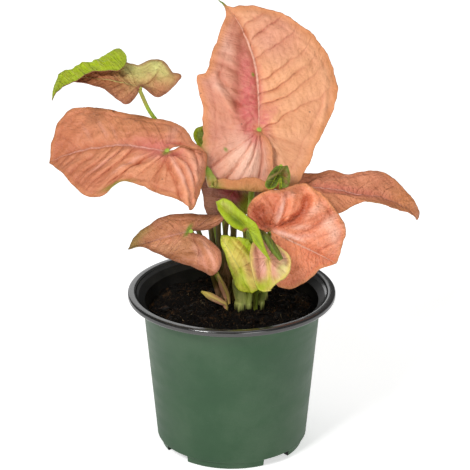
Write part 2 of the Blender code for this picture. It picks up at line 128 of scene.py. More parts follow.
class SYNGONIUM_PG_leaves(bpy.types.PropertyGroup):
    thickness: size("Thickness", "Thickness of a blade", 0.5)
    step: size("Mesh step", "Distance between points of a blade", 0.9)
    quilting: share("Quilting", "How far a blade swells between its veins", 1.5, 3.0)
    peach: colour("Peach", "Right half of the upright leaf", "E19D73")
    rosy: colour("Rosy beige", "Left half of the upright leaf", "CF8870")
    rose: colour("Rose", "Blush beside the midribs", "CC645F")
    # Pale rose also paints the highlights on the front leaf's ridges
    pale_rose: colour("Pale rose", "Veins of the coral leaves", "EBAF9F")
    # Bisque is the midrib colour of these leaves and also paints their highlights
    bisque: colour("Bisque", "Pale parts of the upright and the front leaf", "F3C3AC")
    orange: colour("Orange", "Rims of the coral leaves", "E0925C")
    salmon: colour("Salmon", "Left leaf", "DC8E68")
    terracotta: colour("Terracotta", "Darker parts of the left leaf", "C37250")
    coral: colour("Coral", "Front leaf", "E88A64")
    deep_coral: colour("Deep coral", "Lower half of the front leaf", "E6875F")
    # Brick paints the shade in the front leaf's hollow and along its dark fold
    brick_shade: colour("Brick", "Hollows of the front leaf", "BC5A3C")
    dusty: colour("Dusty pink", "Right leaf", "DF8D6A")
    clay: colour("Clay", "Edges of the right leaf", "CA7F4E")
    tan: colour("Tan", "Low leaf at the left", "B5744B")
    umber: colour("Umber", "Shaded parts of the tan leaves", "8C5236")
    plum: colour("Plum", "Shaded leaf in the middle", "AE7466")
    magenta: colour("Magenta", "Streak on the shaded leaf", "C24D68")
    lime: colour("Lime", "Undersides at the top left, young leaves", "ACC00C")
    pale_lime: colour("Pale lime", "Pale blush on young leaves", "CFCB78")
    butter: colour("Butter", "Yellow rims of young leaves", "E4CD60")
    grass: colour("Grass green", "Green leaf", "A4B52A")
    moss: colour("Moss green", "Back leaf and dark undersides", "6F8A24")
    forest: colour("Forest green", "Rolled leaf", "4E4E14")
    pink: colour("Pink", "Cupped leaf and sprout", "DB9C82")
    sage: colour("Sage", "Undersides of the coral leaves", "B99A5E")


class SYNGONIUM_PG_stalks(bpy.types.PropertyGroup):
    steps: count("Steps", "Pieces between two points of a stalk", 8, 40)
    sides: count("Roundness", "Bevel resolution of a stalk", 5, 16)
    sheath: share("Sheath", "How much a stalk widens at its foot", 0.45, 2.0)
    fresh: colour("Fresh green", "Upper part of the stalks", "A3BF45")
    deep: colour("Deep green", "Shaded streaks of the stalks", "6F8C2E")
    pale: colour("Pale green", "Feet of the stalks and the pale stem", "C9CC74")
    blush: colour("Stalk blush", "Pinkish sheaths", "B98A6C")
    dry: colour("Dry stalks", "Dry stalks and roots", "6B5A2C")
    moss: colour("Moss", "Shaded streaks of dry stalks", "3E4A1A")
    roots: count("Roots", "Fine roots that climb round the feet", 22, 200)


class SYNGONIUM_PG_stage(bpy.types.PropertyGroup):
    floor: colour("Floor", "Plain pale floor", "FBFBFB")
    floor_size: size("Floor size", "Side of the floor", 9000.0, 20000.0)
    sky: share("Sky light", "Even white light from all round", 0.18, 5.0)
    key: power("Key light", "Power of the large light at the front left", 18.0)
    fill: power("Fill light", "Power of the light at the front right", 6.0)
    top: power("Top light", "Power of the light from above", 5.0)
    back: power("Back light", "Power of the light behind at the left", 2.6)
    lens: FloatProperty(name="Lens", description="Focal length of the camera", default=151.91, min=10,
                        subtype="DISTANCE_CAMERA", unit="CAMERA")
    distance: size("Camera distance", "From the camera to what it looks at", 1000.0, 5000.0)
    elevation: FloatProperty(name="Elevation", description="How far the camera looks down",
                             subtype="ANGLE", unit="ROTATION", default=math.radians(21.77))


class SYNGONIUM_PG_all(bpy.types.PropertyGroup):
    pot: PointerProperty(type=SYNGONIUM_PG_pot)
    soil: PointerProperty(type=SYNGONIUM_PG_soil)
    leaves: PointerProperty(type=SYNGONIUM_PG_leaves)
    stalks: PointerProperty(type=SYNGONIUM_PG_stalks)
    stage: PointerProperty(type=SYNGONIUM_PG_stage)


# The plant

@dataclass
class Roll:
    """What lies further out than `distance` along `bearing` rolls round `radius` by `angle`.

    A roll that rides keeps the height that the blade already has there.
    """
    distance: float
    bearing: float
    radius: float
    angle: float
    rides: bool = False


@dataclass
class Patch:
    """A soft ellipse on the flat blade."""
    along: float
    across: float
    length: float
    width: float
    turn: float = 0.0
    strength: float = 1.0


@dataclass
class Leaf:
    """One blade: its outline runs from the notch up the right edge, over the tip and down the left.

    quilted holds the quilting of the front right, front left, back right and back left part, and
    second_halves the share of the second tone on the right and the left half. A fold is a ridge, or
    a furrow if its height is below zero: (width, height, points along the flat blade...). Patches
    are listed by their tone, and those of main take off the second tone that is there so far.
    """
    name: str
    slot: str
    joint: tuple
    heading: tuple
    facing: tuple
    right: list
    tip: tuple
    left: list
    upper: dict
    under: dict
    crease: float = 0.0
    notch: float = 10.0
    curve: float = 1.0
    lift_power: float = 1.7
    ripples: float = 0.0
    ripple_height: float = 0.0
    dome: float = 0.0
    vein_step: float = 8.0
    vein_slope: float = 0.5
    vein_bow: float = 0.006
    lobe_veins: float = 4.0
    lobe_power: float = 1.5
    lobe_bow: float = 0.008
    hem: float = 3.2
    rim: float = 1.6
    ragged: float = 0.35
    vein_strength: float = 0.35
    swell: float = 0.8
    quilted: tuple = (1.0, 1.0, 1.0, 1.0)
    gloss: float = 0.46
    crinkle: float = 1.0
    second_halves: tuple = (0.0, 0.0)
    stalk_through: float = 0.0
    seed: int = 1
    rolls: tuple = ()
    folds: list = field(default_factory=list)
    patches: dict = field(default_factory=dict)


@dataclass
class Stalk:
    """A leaf stalk: where it leaves the soil, the points it passes and its radii."""
    foot: tuple
    through: list
    foot_radius: float
    neck_radius: float
    finish: str = "green_stalk"


def tones(main, second, blush, stain, vein, midrib, rim):
    """The settings that colour one side of a blade, by what they colour."""
    return {"Main": main, "Second": second, "Blush": blush, "Stain": stain, "Vein": vein,
            "Midrib": midrib, "Rim": rim}


CORAL_UNDER = tones("sage", "moss", "tan", "moss", "pale_lime", "pale_lime", "clay")
TAN_UNDER = tones("lime", "moss", "pale_lime", "grass", "pale_lime", "lime", "grass")
GREEN_BOTH = tones("grass", "moss", "pale_lime", "umber", "lime", "lime", "lime")

LEAVES = [
    Leaf("upright_leaf", "coral_leaf", (13.6, 13, 165), (2, 42, 91), (10, -90, 42),
        right=[(-27, -1, -4), (-29, -9, -4), (-28, -18, -3), (-20, -24, -3), (-7, -29, -4), (6, -36, -6),
            (20, -40, -8), (31, -39, -9), (44, -33, -9), (54, -23, -9), (60, -13, -10), (63.8, -1, -11),
            (64.2, 9, -11.5), (63.0, 14, -11.5)],
        tip=(68, 21, -13.5),
        left=[(61.5, 17, -10), (51, 19.4, -5), (39, 24, -1), (29, 27, 2), (25, 32, 3), (16, 30, 2),
            (6, 28, 1), (-6, 28.4, 0), (-14, 30.6, 1), (-22, 32, 1), (-31, 30.6, 1), (-36, 23, 1),
            (-38.3, 13, 2), (-40, 3, 3), (-36.5, -6, 3.6), (-26, -7.5, 4), (-16, -7, 3.6),
            (-9, -6.5, 2.6), (-4, -4, 1.2)],
        upper=tones("peach", "rosy", "rose", "moss", "rose", "bisque", "orange"),
        under={**CORAL_UNDER, "Second": "clay"},
        crease=0.08, notch=12, lift_power=1.6, ripples=3, ripple_height=0.5, vein_step=8.6,
        vein_slope=0.34, vein_bow=0.005, lobe_veins=5, lobe_power=1.8, hem=6.5, rim=3.2, ragged=0.6,
        vein_strength=0.3, swell=0.95, quilted=(1.2, 0.35, 0.35, 0.3), crinkle=0.5,
        second_halves=(0.0, 0.9), stalk_through=0.5, seed=3,
        rolls=(Roll(30.4, 105, 1.7, 165, True), Roll(29.5, 176, 2.0, 160, True)),
        folds=[(2.8, -1.5, (49, 8.5), (36, 9.5), (20, 10.5), (9, 10.5), (2, 6)),
            (1.5, 0.9, (37, 25), (35, 18), (31, 10)), (1.6, -0.8, (34, 25), (32, 18), (28, 11)),
            (1.5, 1.2, (27, 23), (20.5, 21.5), (9.5, 13.5)), (1.5, -1.1, (28, 20), (22, 18), (12, 11)),
            (0.8, 0.55, (1, -2), (0.5, -13)), (0.8, 0.5, (-1, -2), (-4, -12)),
            (0.9, 0.5, (2, -2), (6, -16)), (1.6, 0.9, (-3, -4), (-12, -11), (-21, -13)),
            (4.5, 2.6, (-5, 2.5), (-15, 5), (-27, 8)), (3.2, 1.6, (-6, 7), (-15, 13), (-25, 19)),
            (0.7, -1.0, (-2.6, 2.3), (-8, 9), (-14.4, 17.7), (-20, 24)),
            (0.7, -1.2, (-3.6, 2.8), (-12.8, 7), (-21, 12.5), (-30, 19)),
            (0.7, -1.3, (-4, 1), (-14.4, 3.3), (-25.6, 9), (-30, 12)),
            (0.7, -1.2, (-4, -0.5), (-13, -2), (-22, -1), (-29, 2)),
            (3.5, 1.2, (4, 9), (-6, 15), (-12, 24)), (0.9, 0.9, (10, 4), (7, 9), (9, 14)),
            (0.9, -0.9, (14, 4), (12, 9), (14, 12)), (0.9, 0.8, (19, 4), (17, 9)),
            (0.9, 0.9, (6, 4), (2, 9), (1, 14)),
            (1.3, 0.8, (47, -21), (36, -30), (20, -34), (5, -32), (-8, -27))],
        patches={"blush": [(13, 5, 16, 7), (-1, 0.5, 7, 5.5), (30, 6, 12, 5, 12, 0.75),
                (6, -3, 9, 3, -40, 0.7)],
            "main": [(-16, 6, 14, 12, 0, 0.4)],
            "second": [(-2, 18, 14, 12, 0, 0.6), (50, -8, 14, 14, 0, 0.8)],
            "stain": [(0.2, -0.6, 1.3, 1.0), (28, 3.4, 1.0, 0.7, 20), (-10.5, 16.8, 1.2, 0.7, 40),
                (66.5, 19, 3.6, 3.0), (-19, 31, 15, 4.2), (-34, 25, 9, 4, 125, 0.8)],
            # Pale: painted highlights on the pouch and on the facets by the crease at the left, and a paler
            # strip beside the midrib
            "pale": [(-16, 5, 14, 11, 0, 0.8), (41, 17, 8, 3.5, 15, 0.4), (20, 19, 8, 2.6, 60, 0.4),
                (12, -1.2, 12, 0.8, 0, 0.25)]}),
    Leaf("left_leaf", "coral_leaf", (-31.6, -7, 161), (-92, 37, 6), (-20, -62, 75),
        right=[(-19, -5.6, -3.5), (-14.5, -7.4, -4), (-9, -10.4, -4.5), (-3, -15.5, -5), (5, -18.6, -5),
            (17, -18, -4), (38, -18, -5), (58, -17, -7), (64, -9, -7), (64, 3, -7)],
        tip=(62, 15, -9),
        left=[(50, 22, -5), (41, 28, -3), (34.5, 31.8, -2), (29, 32.4, -1), (23.5, 31.0, -0.5),
            (19, 26.5, 1), (14, 22, 1), (4, 23, 1), (-6, 24, 0), (-16, 24, -3), (-24, 24, -6),
            (-25, 12, -7), (-25, 2, -8), (-22.5, -6, -7), (-17, -8.2, -6), (-11, -7, -4.5)],
        upper=tones("salmon", "terracotta", "rose", "moss", "terracotta", "pale_rose", "clay"),
        under=CORAL_UNDER,
        crease=0.08, notch=24, ripples=5, ripple_height=0.6, vein_step=7.6, vein_slope=0.75,
        vein_bow=0.004, lobe_veins=5, lobe_power=1.3, vein_strength=0.2, swell=1.1,
        quilted=(0.25, 0.95, 0.3, 0.4), crinkle=0.6, second_halves=(0.2, 0.2), stalk_through=0.5, seed=7,
        rolls=(Roll(8, 180, 14, -45),),
        folds=[(1.8, -1.4, (2, 1.5), (8, 8.5), (17, 11)), (2.2, 1.0, (3, 5), (9, 12), (19, 15)),
            (1.3, 1.8, (-3, 4), (-11, 11), (-19, 22), (-22, 27)),
            (1.0, -1.1, (-1, 5), (-8, 13), (-16, 23)),
            (1.5, 1.9, (-5.5, 3), (-13, 7), (-20, 15), (-23, 20)),
            (1.0, -1.3, (-4, 1.5), (-12, 4), (-19, 11), (-23.5, 17)),
            (1.7, 1.6, (0, -3), (-8, -2), (-15, 2), (-20, 9)),
            (1.0, -1.1, (0.8, -4.5), (-7.7, -5), (-14.7, -2.5), (-19.7, 5)),
            (1.4, -0.9, (1, 6), (0, 14), (-2, 22))],
        patches={"blush": [(8, -1, 14, 6, 0, 0.6), (-1, 0, 6, 5, 0, 0.8)],
            "second": [(35, 22, 16, 9), (59, 5, 11, 17)],
            "stain": [(17.5, 25, 8, 2.0, 25, 0.7), (0.4, 0.6, 2.4, 1.9, 30, 0.75)],
            # Pale: a paler strip beside the midrib, and painted highlights on the ridges between the side
            # veins and on the lobe's pleats
            "pale": [(15, 0.6, 15, 1.3, 2, 0.5), (4, 3, 5, 2.5, 40, 0.4), (17, 12, 10, 1.0, 52, 0.35),
                (30, 13, 10, 1.0, 50, 0.3), (38, -6, 6, 1.0, -45, 0.35), (31, -5, 5, 0.8, -48, 0.3),
                (46, -3, 6, 0.9, -42, 0.3), (1, -9, 7, 2.2, -85, 0.35), (-19, 3, 8, 8, 0, 0.3),
                (-12, 12, 11, 1.2, 135, 0.5), (-14, 7, 9, 1.0, 130, 0.5)]}),
    Leaf("low_left_leaf", "tan_leaf", (-20, -14, 121), (-97, 15, -20), (-25, -66, 70),
        right=[(-9, 1, 0), (-18, -3.5, 0.5), (-12, -7, 0), (-6, -8.5, 0), (2, -10, -1), (10, -11, -2),
            (17, -10, -2), (25, -7, -3), (30, -4, -4)],
        tip=(35, 2, -7),
        left=[(27, 3, -3), (18, 9, 0), (10, 15, 1), (1, 19, 0), (-6, 23, -2), (-10, 25, -4),
            (-14, 21, -4), (-15, 14, -3), (-12, 9, -1), (-7, 4, 0)],
        upper=tones("tan", "peach", "dusty", "moss", "pale_rose", "pale_rose", "umber"),
        under=CORAL_UNDER,
        crease=0.15, vein_step=5.5, vein_slope=0.7, vein_bow=0.01, swell=0.6,
        quilted=(0.5, 0.7, 0.8, 1.2), stalk_through=0.6, seed=11,
        patches={"blush": [(-10, 17, 8, 7, 0, 0.6), (10, 3, 9, 2.6, 0, 0.55), (7, -5, 9, 3.5, 0, 0.35)],
            "second": [(12, 5, 14, 6, 0, 0.85)],
            "stain": [(27, -4.5, 6, 2.4, 20, 0.3), (32, 1, 5, 4, 0, 0.35), (1.5, -0.6, 3.8, 1.2, 60)],
            "pale": [(14, 0.4, 14, 0.9, 2, 0.6), (-9, 13, 8, 0.8, 112, 0.6), (-11, 19, 7, 0.8, 98, 0.5),
                (-6, 17, 8, 0.8, 104, 0.5), (-3, 12, 6, 1.4, 110, 0.35)]}),
    Leaf("front_leaf", "coral_leaf", (19.5, -13, 121), (89, -1, -46), (15, -94, 30),
        right=[(7, -13.5, 0), (10.5, -19.5, 0), (14, -23, 0), (19, -22.6, 0), (24, -20, -1),
            (29, -12, -2), (32, -6, -3)],
        tip=(39, 0, -6),
        left=[(37, 4, -2), (36, 10, -1), (35, 16, -2), (29, 21, -1), (20, 26, -2), (13, 28, -2),
            (7, 29, -3), (2, 27, -2), (-4, 22, 1), (-12, 16, 2), (-16, 10, 2), (-14.5, 2, 1),
            (-11, -3.5, 1), (-6, -7, 0.5)],
        upper=tones("coral", "deep_coral", "pale_rose", "brick_shade", "rose", "bisque", "orange"),
        under=CORAL_UNDER,
        crease=0.12, dome=1.5, vein_step=6.5, vein_slope=0.6, vein_bow=0.01, vein_strength=0.2,
        swell=0.9, quilted=(0.35, 0.7, 0.5, 0.9), gloss=0.26, second_halves=(0.9, 0.0), seed=17,
        folds=[(2.2, -3.4, (1, 2.6), (7, 9), (10.5, 15), (9.7, 22)),
            (3.4, 3.2, (2.8, 1.3), (16.6, 3), (24, 9), (29, 17)),
            (1.5, 2.2, (0.9, 5), (-0.6, 12.5), (-3.7, 18)), (2.4, -2.8, (-3, 2), (-7, 3), (-10, 6)),
            (1.5, 1.8, (4, 9), (3.5, 16), (1, 22)), (1.6, 1.4, (-4, 8), (-9, 11), (-13, 12)),
            (2.0, 1.6, (14, 20), (13, 24), (9, 27)), (1.6, -1.2, (18, 9), (21, 15), (22, 22))],
        # Blush in pale rose and the pale patches paint highlights on the ridges, and the brick stain patches
        # paint the shade in the hollow at the left and along the dark fold
        patches={"blush": [(-1.3, 12, 7, 1.5, 100, 0.6), (6, 1.6, 8, 1.3, 5, 0.5),
                (15, 4.5, 8, 1.6, 30, 0.35)],
            "stain": [(8, 12, 9, 1.6, 62, 0.45), (-8, 6, 8, 6, 40, 0.75), (9, 16, 2.6, 8, -10, 0.45),
                (-2, 19, 5, 2.5, 20, 0.3)],
            "pale": [(24, 17, 7, 1.6, 65, 0.5), (28, 13, 8, 3.6, -40, 0.55), (15, 19, 6, 2.2, 60, 0.5),
                (12, 8, 7, 1.2, 30, 0.5), (-0.5, 11, 7, 1.0, 98, 0.6), (-0.5, 20, 3, 1.6, 20, 0.45),
                (-7.5, 5.5, 3.5, 0.8, 60, 0.5), (8, 1.6, 8, 0.8, 6, 0.5)]}),
    Leaf("right_leaf", "coral_leaf", (30.4, 10, 137), (99, 0, -13), (12, -31, 94),
        right=[(3, -7, -2), (14, -13, -4), (25, -15, -3), (33, -9, -1), (40, -8, 1), (49, -8, 0),
            (57, -3, -1), (65, 0.5, -1)],
        tip=(73, 3.4, -2),
        left=[(72.5, 7, 0), (66, 7.6, 1), (56, 10, 2), (48, 15, 3), (42, 16.5, 2), (35, 15, 1),
            (28, 13, 0), (20, 14, 1), (11, 9, 1), (4, 10, 0), (-2, 8, -2), (-3, 5, -3)],
        upper=tones("dusty", "clay", "rose", "umber", "umber", "pale_rose", "clay"), under=CORAL_UNDER,
        crease=0.08, vein_slope=0.9, vein_bow=0.01, lobe_veins=3, swell=0.6,
        quilted=(0.5, 0.6, 0.5, 0.5), second_halves=(0.5, 0.1), seed=23, rolls=(Roll(40, 0, 34, -50),),
        folds=[(1.6, -0.9, (8, -3), (20, -3), (34, -1))],
        patches={"blush": [(26, 0, 26, 3.5, 0, 0.5)],
            "second": [(62, 4, 14, 8, 0, 0.9)]}),
    Leaf("top_left_leaf", "tan_leaf", (-45, 6, 190), (-71, 59, 39), (5, -50, 86),
        right=[(-5, -1.5, -2), (-9, -4, -4), (-10, -10, -4), (-10.5, -16, -2), (-9.5, -19, 0),
            (-5, -17, 0), (2, -18, 2), (8, -15, 0), (12, -9, -1), (17, -6, 0), (24, -6, 0),
            (31, -9.5, 0), (39, -8, 0), (44.6, -2, 0), (42, 4, 0), (39.5, 9, 0), (41, 17, 0),
            (43, 24.5, 0), (47.5, 31, 0)],
        tip=(53, 36, 0),
        left=[(43, 31.5, 0), (34, 26, 0), (25, 22, 0), (16, 17, 0), (9, 14.5, 0), (3, 13, -2),
            (-1, 11, -4), (-1.5, 7, -4), (-1.5, 3, -2)],
        upper=tones("tan", "pale_lime", "clay", "umber", "umber", "pale_lime", "umber"), under=TAN_UNDER,
        crease=0.08, curve=0, vein_step=6, vein_slope=0.8, vein_bow=0.01, lobe_veins=3, swell=0.4,
        seed=29, rolls=(Roll(23.2, -10.8, 2.2, 165),),
        patches={"blush": [(12, 6, 10, 6, 40, 0.3)],
            "second": [(14, -7, 14, 9, -20), (2, -14, 10, 5, 0, 0.9)],
            "stain": [(37.5, 8, 1.6, 3.0, 0, 0.8)]}),
    Leaf("shaded_leaf", "tan_leaf", (4.2, 17, 136), (-60, -6, -80), (-15, -97, 18),
        right=[(-6, 4, 0), (-6, 10, 0), (0, 14.5, 0), (6, 14.5, 0), (10.5, 13, 0), (15, 9.5, 0),
            (19, 6.5, 0)],
        tip=(25, 3, 0),
        left=[(24, -3, 0), (18, -10, 0), (12, -15, 0), (3, -14, 0), (-3, -9, 0), (-3, -4, 0)],
        upper=CORAL_UNDER, under=tones("plum", "grass", "magenta", "pink", "tan", "tan", "umber"),
        crease=0.15, vein_step=5, swell=0.4, seed=31,
        folds=[(2.0, -2.0, (9, -6), (6, 2), (3, 12)), (3.0, 1.8, (22, -8), (19, -2), (20, 5))],
        patches={"blush": [(8.2, 0.5, 5.5, 2.4, 104)],
            "second": [(8.5, 10, 6, 3.6, 20), (6, 12, 6, 3.6, 60)],
            "stain": [(20.5, -5, 6, 5.5, 0, 0.9)]}),
    Leaf("back_leaf", "green_leaf", (0, 27, 155), (19, 56, 81), (-10, -81, 58),
        right=[(-10, -5, -2), (-11, -11, -3), (-3, -16, -2), (13, -15, -1), (26, -10, -2), (36, -3, -4)],
        tip=(41, 2, -7),
        left=[(32, 7, -4), (21, 12, -2), (7, 14, 0), (2, 19, 0), (-3, 19, 0), (-8, 14, -1), (-12, 5, -2),
            (-11, 0, -2)],
        upper={**GREEN_BOTH, "Main": "moss", "Second": "forest"}, under=GREEN_BOTH,
        crease=0.15, vein_step=6, swell=0.5, seed=37,
        patches={"second": [(-2, 16, 8, 5, 0, 0.6)]}),
    Leaf("green_leaf", "green_leaf", (8, -24, 126.4), (-72, 42, 56), (-30, -90, 30),
        right=[(-6, 2.5, 0), (-19, 3, 0), (-14, 0, 2), (-3, -5, 2), (3, -5, 2), (9, -5, 2), (14, -5, 2),
            (19, -3, 1)],
        tip=(21, 1, 0),
        left=[(17, 3, 1), (9, 4, 2), (3, 3, 2), (0, 2, 1)],
        upper=GREEN_BOTH, under=GREEN_BOTH,
        crease=0.2, vein_step=4, vein_strength=0.15, swell=0.25, gloss=0.4, crinkle=0.35, seed=41,
        folds=[(1.3, -1.0, (19, 1), (10, 0.5), (3, 0))],
        patches={"blush": [(17, -1, 6, 2.2, 0, 0.5)],
            "second": [(7, 1, 6, 2, 0, 0.9), (-8, 1, 8, 1.2, -8, 0.7)],
            "stain": [(0.5, 1, 1.8, 1.0, 60)]}),
    Leaf("lime_leaf", "lime_leaf", (4.2, -16, 102.3), (-49, 33, 81), (-30, -93, 20),
        right=[(-14.5, 1.2, -1), (-13, -4.5, 0), (-8, -9, 1), (0, -10, 2), (5, -10.6, 0.6),
            (10, -11.8, 0), (13.6, -8.6, 1), (14.4, -5.6, 1.6), (17.4, -3, 1)],
        tip=(19, 0, 0),
        left=[(16, 2, 0), (10, 3, 1), (5, 4, 1), (-1, 5.5, 0), (-9, 6, -1), (-14.5, 0.5, -1)],
        upper=tones("butter", "lime", "pink", "grass", "pale_lime", "pale_lime", "lime"),
        under=GREEN_BOTH,
        crease=0.1, notch=0, dome=1.0, vein_step=4, vein_strength=0.0, swell=0.3, gloss=0.42,
        crinkle=0.3, seed=43,
        folds=[(1.0, -1.2, (17, -2.5), (10, -3.5), (4, -5), (-6, -4)),
            (1.6, 1.0, (14, 1), (4, 1), (-8, 0)), (0.7, -2.4, (15, -5), (9, -7), (2, -8.6))],
        patches={"blush": [(-3, -5, 6, 3, 0, 0.5)],
            "second": [(8.5, -10, 8, 2.8, -8), (8.5, -9.6, 6, 2.0, -8), (-6, 3, 7, 2.5, 10, 0.7)],
            "stain": [(13, -2, 4, 2, 0, 0.45)]}),
    Leaf("cupped_leaf", "pink_leaf", (18, -24, 111), (-22, 32, 92), (10, -93, 35),
        right=[(-15.5, 3, 1), (-13, -1.5, 2), (-11, -6, 3), (-7, -9, 4), (-1, -10, 3), (4, -7, 1),
            (7, -4, 0)],
        tip=(11, 1, 0),
        left=[(9, 6, 1), (4, 8.7, 2), (-3, 9.5, 3), (-9, 9.5, 3), (-15, 8, 2), (-15.8, 2.2, 1)],
        upper=tones("pink", "pale_rose", "pale_lime", "lime", "pale_rose", "pale_rose", "butter"),
        under=GREEN_BOTH,
        crease=0.1, notch=0, vein_step=4, vein_strength=0.05, swell=0.3, gloss=0.32, crinkle=0.35,
        seed=47,
        folds=[(1.5, -1.2, (8, 4), (0, 5), (-9, 6)), (1.4, 1.2, (6, -3), (-2, -6), (-9, -6))],
        patches={"blush": [(-8, -6, 4.5, 3, 0, 0.9)],
            "stain": [(-13.5, 9, 3.5, 10, 10, 0.9)],
            # Pale: a painted highlight inside the cup
            "pale": [(-4, 4, 3.5, 1.6, 0, 0.7)]}),
    Leaf("hooded_leaf", "dark_leaf", (24.4, -6, 152.7), (-42, -63, -66), (10, -75, 65),
        right=[(-1, 3, 1), (3, 6, 2), (8.5, 7.8, 1), (10.5, 5.2, 0), (6.5, 2.6, 1.5), (11.5, 2.2, 0)],
        tip=(14, -0.5, 0),
        left=[(13, -3, 1), (6, -3.2, 1), (1, -2, 0)],
        upper=GREEN_BOTH,
        under={**GREEN_BOTH, "Main": "forest", "Second": "umber", "Stain": "sage", "Rim": "moss"},
        crease=0.2, notch=6, vein_step=3, ragged=0.2, swell=0.3, seed=53,
        folds=[(1.0, -1.2, (1, 1), (6, 1.5), (12, 0)), (1.2, 1.2, (1, 3), (5, 5), (9, 6.5))],
        patches={"second": [(6, 6, 5, 2.2, 30)],
            "stain": [(6.6, -1.3, 6, 0.5, -26)]}),
]

STALKS = {
    "upright_leaf": Stalk((9, 4), [(9, 4, 100), (9, 3.5, 120), (11, 9, 145), (12.8, 18, 160)], 1.9, 1.2),
    "left_leaf": Stalk((-2, 12.5), [(-6, 15, 90), (-9.5, 22, 112), (-13, 24, 131), (-24, 12, 149)],
                       1.5, 1.1),
    "top_left_leaf": Stalk((1.5, 7.5), [(-2, 14, 95), (-5, 25, 118), (-14, 29, 140), (-30, 22, 158),
                                        (-40, 14, 173)], 1.5, 1.0),
    "low_left_leaf": Stalk((-4.5, 8.5), [(-7, 4, 89), (-13, -5, 107)], 1.4, 1.0),
    "front_leaf": Stalk((14, 3), [(16.5, 0, 92), (18.5, -4, 112)], 1.5, 1.1),
    "right_leaf": Stalk((16.5, 8), [(18, 11, 100), (26, 14, 125)], 1.6, 1.1),
    "shaded_leaf": Stalk((5, 13.5), [(1, 20, 102), (0, 24, 124)], 1.3, 1.0),
    "back_leaf": Stalk((8.5, 11.5), [(7, 20, 105), (2, 29, 135)], 1.4, 1.0),
    "green_leaf": Stalk((9, -4.5), [(10.5, -7, 95), (10, -11, 112)], 1.2, 0.9),
    "lime_leaf": Stalk((5, -3.5), [(3, -6, 87), (2.5, -9.5, 93)], 2.6, 1.6, "pale_stalk"),
    "cupped_leaf": Stalk((15, -3.5), [(16, -9, 86), (16, -17, 95)], 1.3, 1.0),
    "hooded_leaf": Stalk((12.5, 8), [(17, 4, 105), (24, -3.5, 133)], 1.2, 0.9),
}
# Heights over the soil of a stalk's first points, and how far behind the blade its last ones lie
STALK_STRAIGHT = (-12.0, 2.0, 6.0)
STALK_NECK = 3.5
NECK_END = 1.5

# Bare stalks of old leaves: radius at the foot and points
DRY_STALKS = [
    (2.0, [(-1, 8, 66), (-6, 9, 88), (-9, 9, 102), (-10.5, 9.5, 112), (-11, 11, 119)]),
    (1.9, [(0, 6, 66), (-2.5, 5, 88), (-3.4, 4, 102), (-3.2, 5, 112), (-2, 8, 121)]),
    (2.3, [(3, 8, 66), (1.5, 7, 88), (0.8, 7, 102), (1.0, 8, 112), (2, 10, 121)]),
    (1.9, [(-0.5, 9, 66), (-4, 8, 88), (-6, 8, 102), (-6.7, 9, 112), (-6.4, 10, 119)]),
    (1.9, [(-3, 6, 66), (-9, 5.5, 88), (-13.4, 5, 103), (-15.8, 4.5, 111), (-17.5, 4, 116)]),
]

# Leaves that are still rolled up and a sheath: material slot, colours and (x, y, z, radius)
SHOOTS = {
    "rolled_leaf": ("dark_leaf", {**GREEN_BOTH, "Main": "forest", "Second": "forest", "Rim": "moss"}, [
        (12, -7, 62, 1.0), (12, -7, 76, 1.0), (12, -7.2, 80, 1.0), (12.5, -8.5, 95, 1.0),
        (13, -13, 114, 1.0), (13, -18, 122.5, 1.2), (17, -25, 122.5, 1.7), (21, -30, 118, 1.9),
        (24.5, -32, 113.5, 1.0)]),
    "sprout": ("pink_leaf", {**GREEN_BOTH, "Main": "pink", "Second": "butter", "Rim": "butter"}, [
        (-3.2, -2, 62, 1.0), (-3.2, -2, 75, 1.0), (-5.5, -2, 77.5, 1.5), (-11, -1.5, 80.5, 1.8),
        (-15.5, -1, 83, 0.3)]),
    "pink_sheath": ("green_stalk", {**GREEN_BOTH, "Main": "pink", "Second": "sage", "Rim": "butter"}, [
        (-1.8, 0.5, 70, 1.3), (-2.6, 0, 79, 1.5), (-4.6, -2, 86, 1.7), (-7.4, -4.5, 94.5, 0.5)]),
}
SHEATHS = ("pink_sheath",)


# Nodes of the finishes

GREY = (0.5, 0.5, 0.5, 1)
DRY_EDGE = (0.12, 0.05, 0.02, 1)
DARK_DOTS = (0.16, 0.06, 0.03, 1)
WET_SOIL = (0.012, 0.008, 0.004, 1)
DUST = (0.4, 0.37, 0.33, 1)


class Value:
    """A socket that places a math node when it is added, subtracted, multiplied or divided."""

    def __init__(self, nodes, socket):
        self.nodes, self.socket = nodes, socket

    def __add__(self, other):
        return self.nodes.math("ADD", self, other)

    def __sub__(self, other):
        return self.nodes.math("SUBTRACT", self, other)

    def __mul__(self, other):
        return self.nodes.math("MULTIPLY", self, other)

    def __truediv__(self, other):
        return self.nodes.math("DIVIDE", self, other)

    def __abs__(self):
        return self.nodes.math("ABSOLUTE", self)


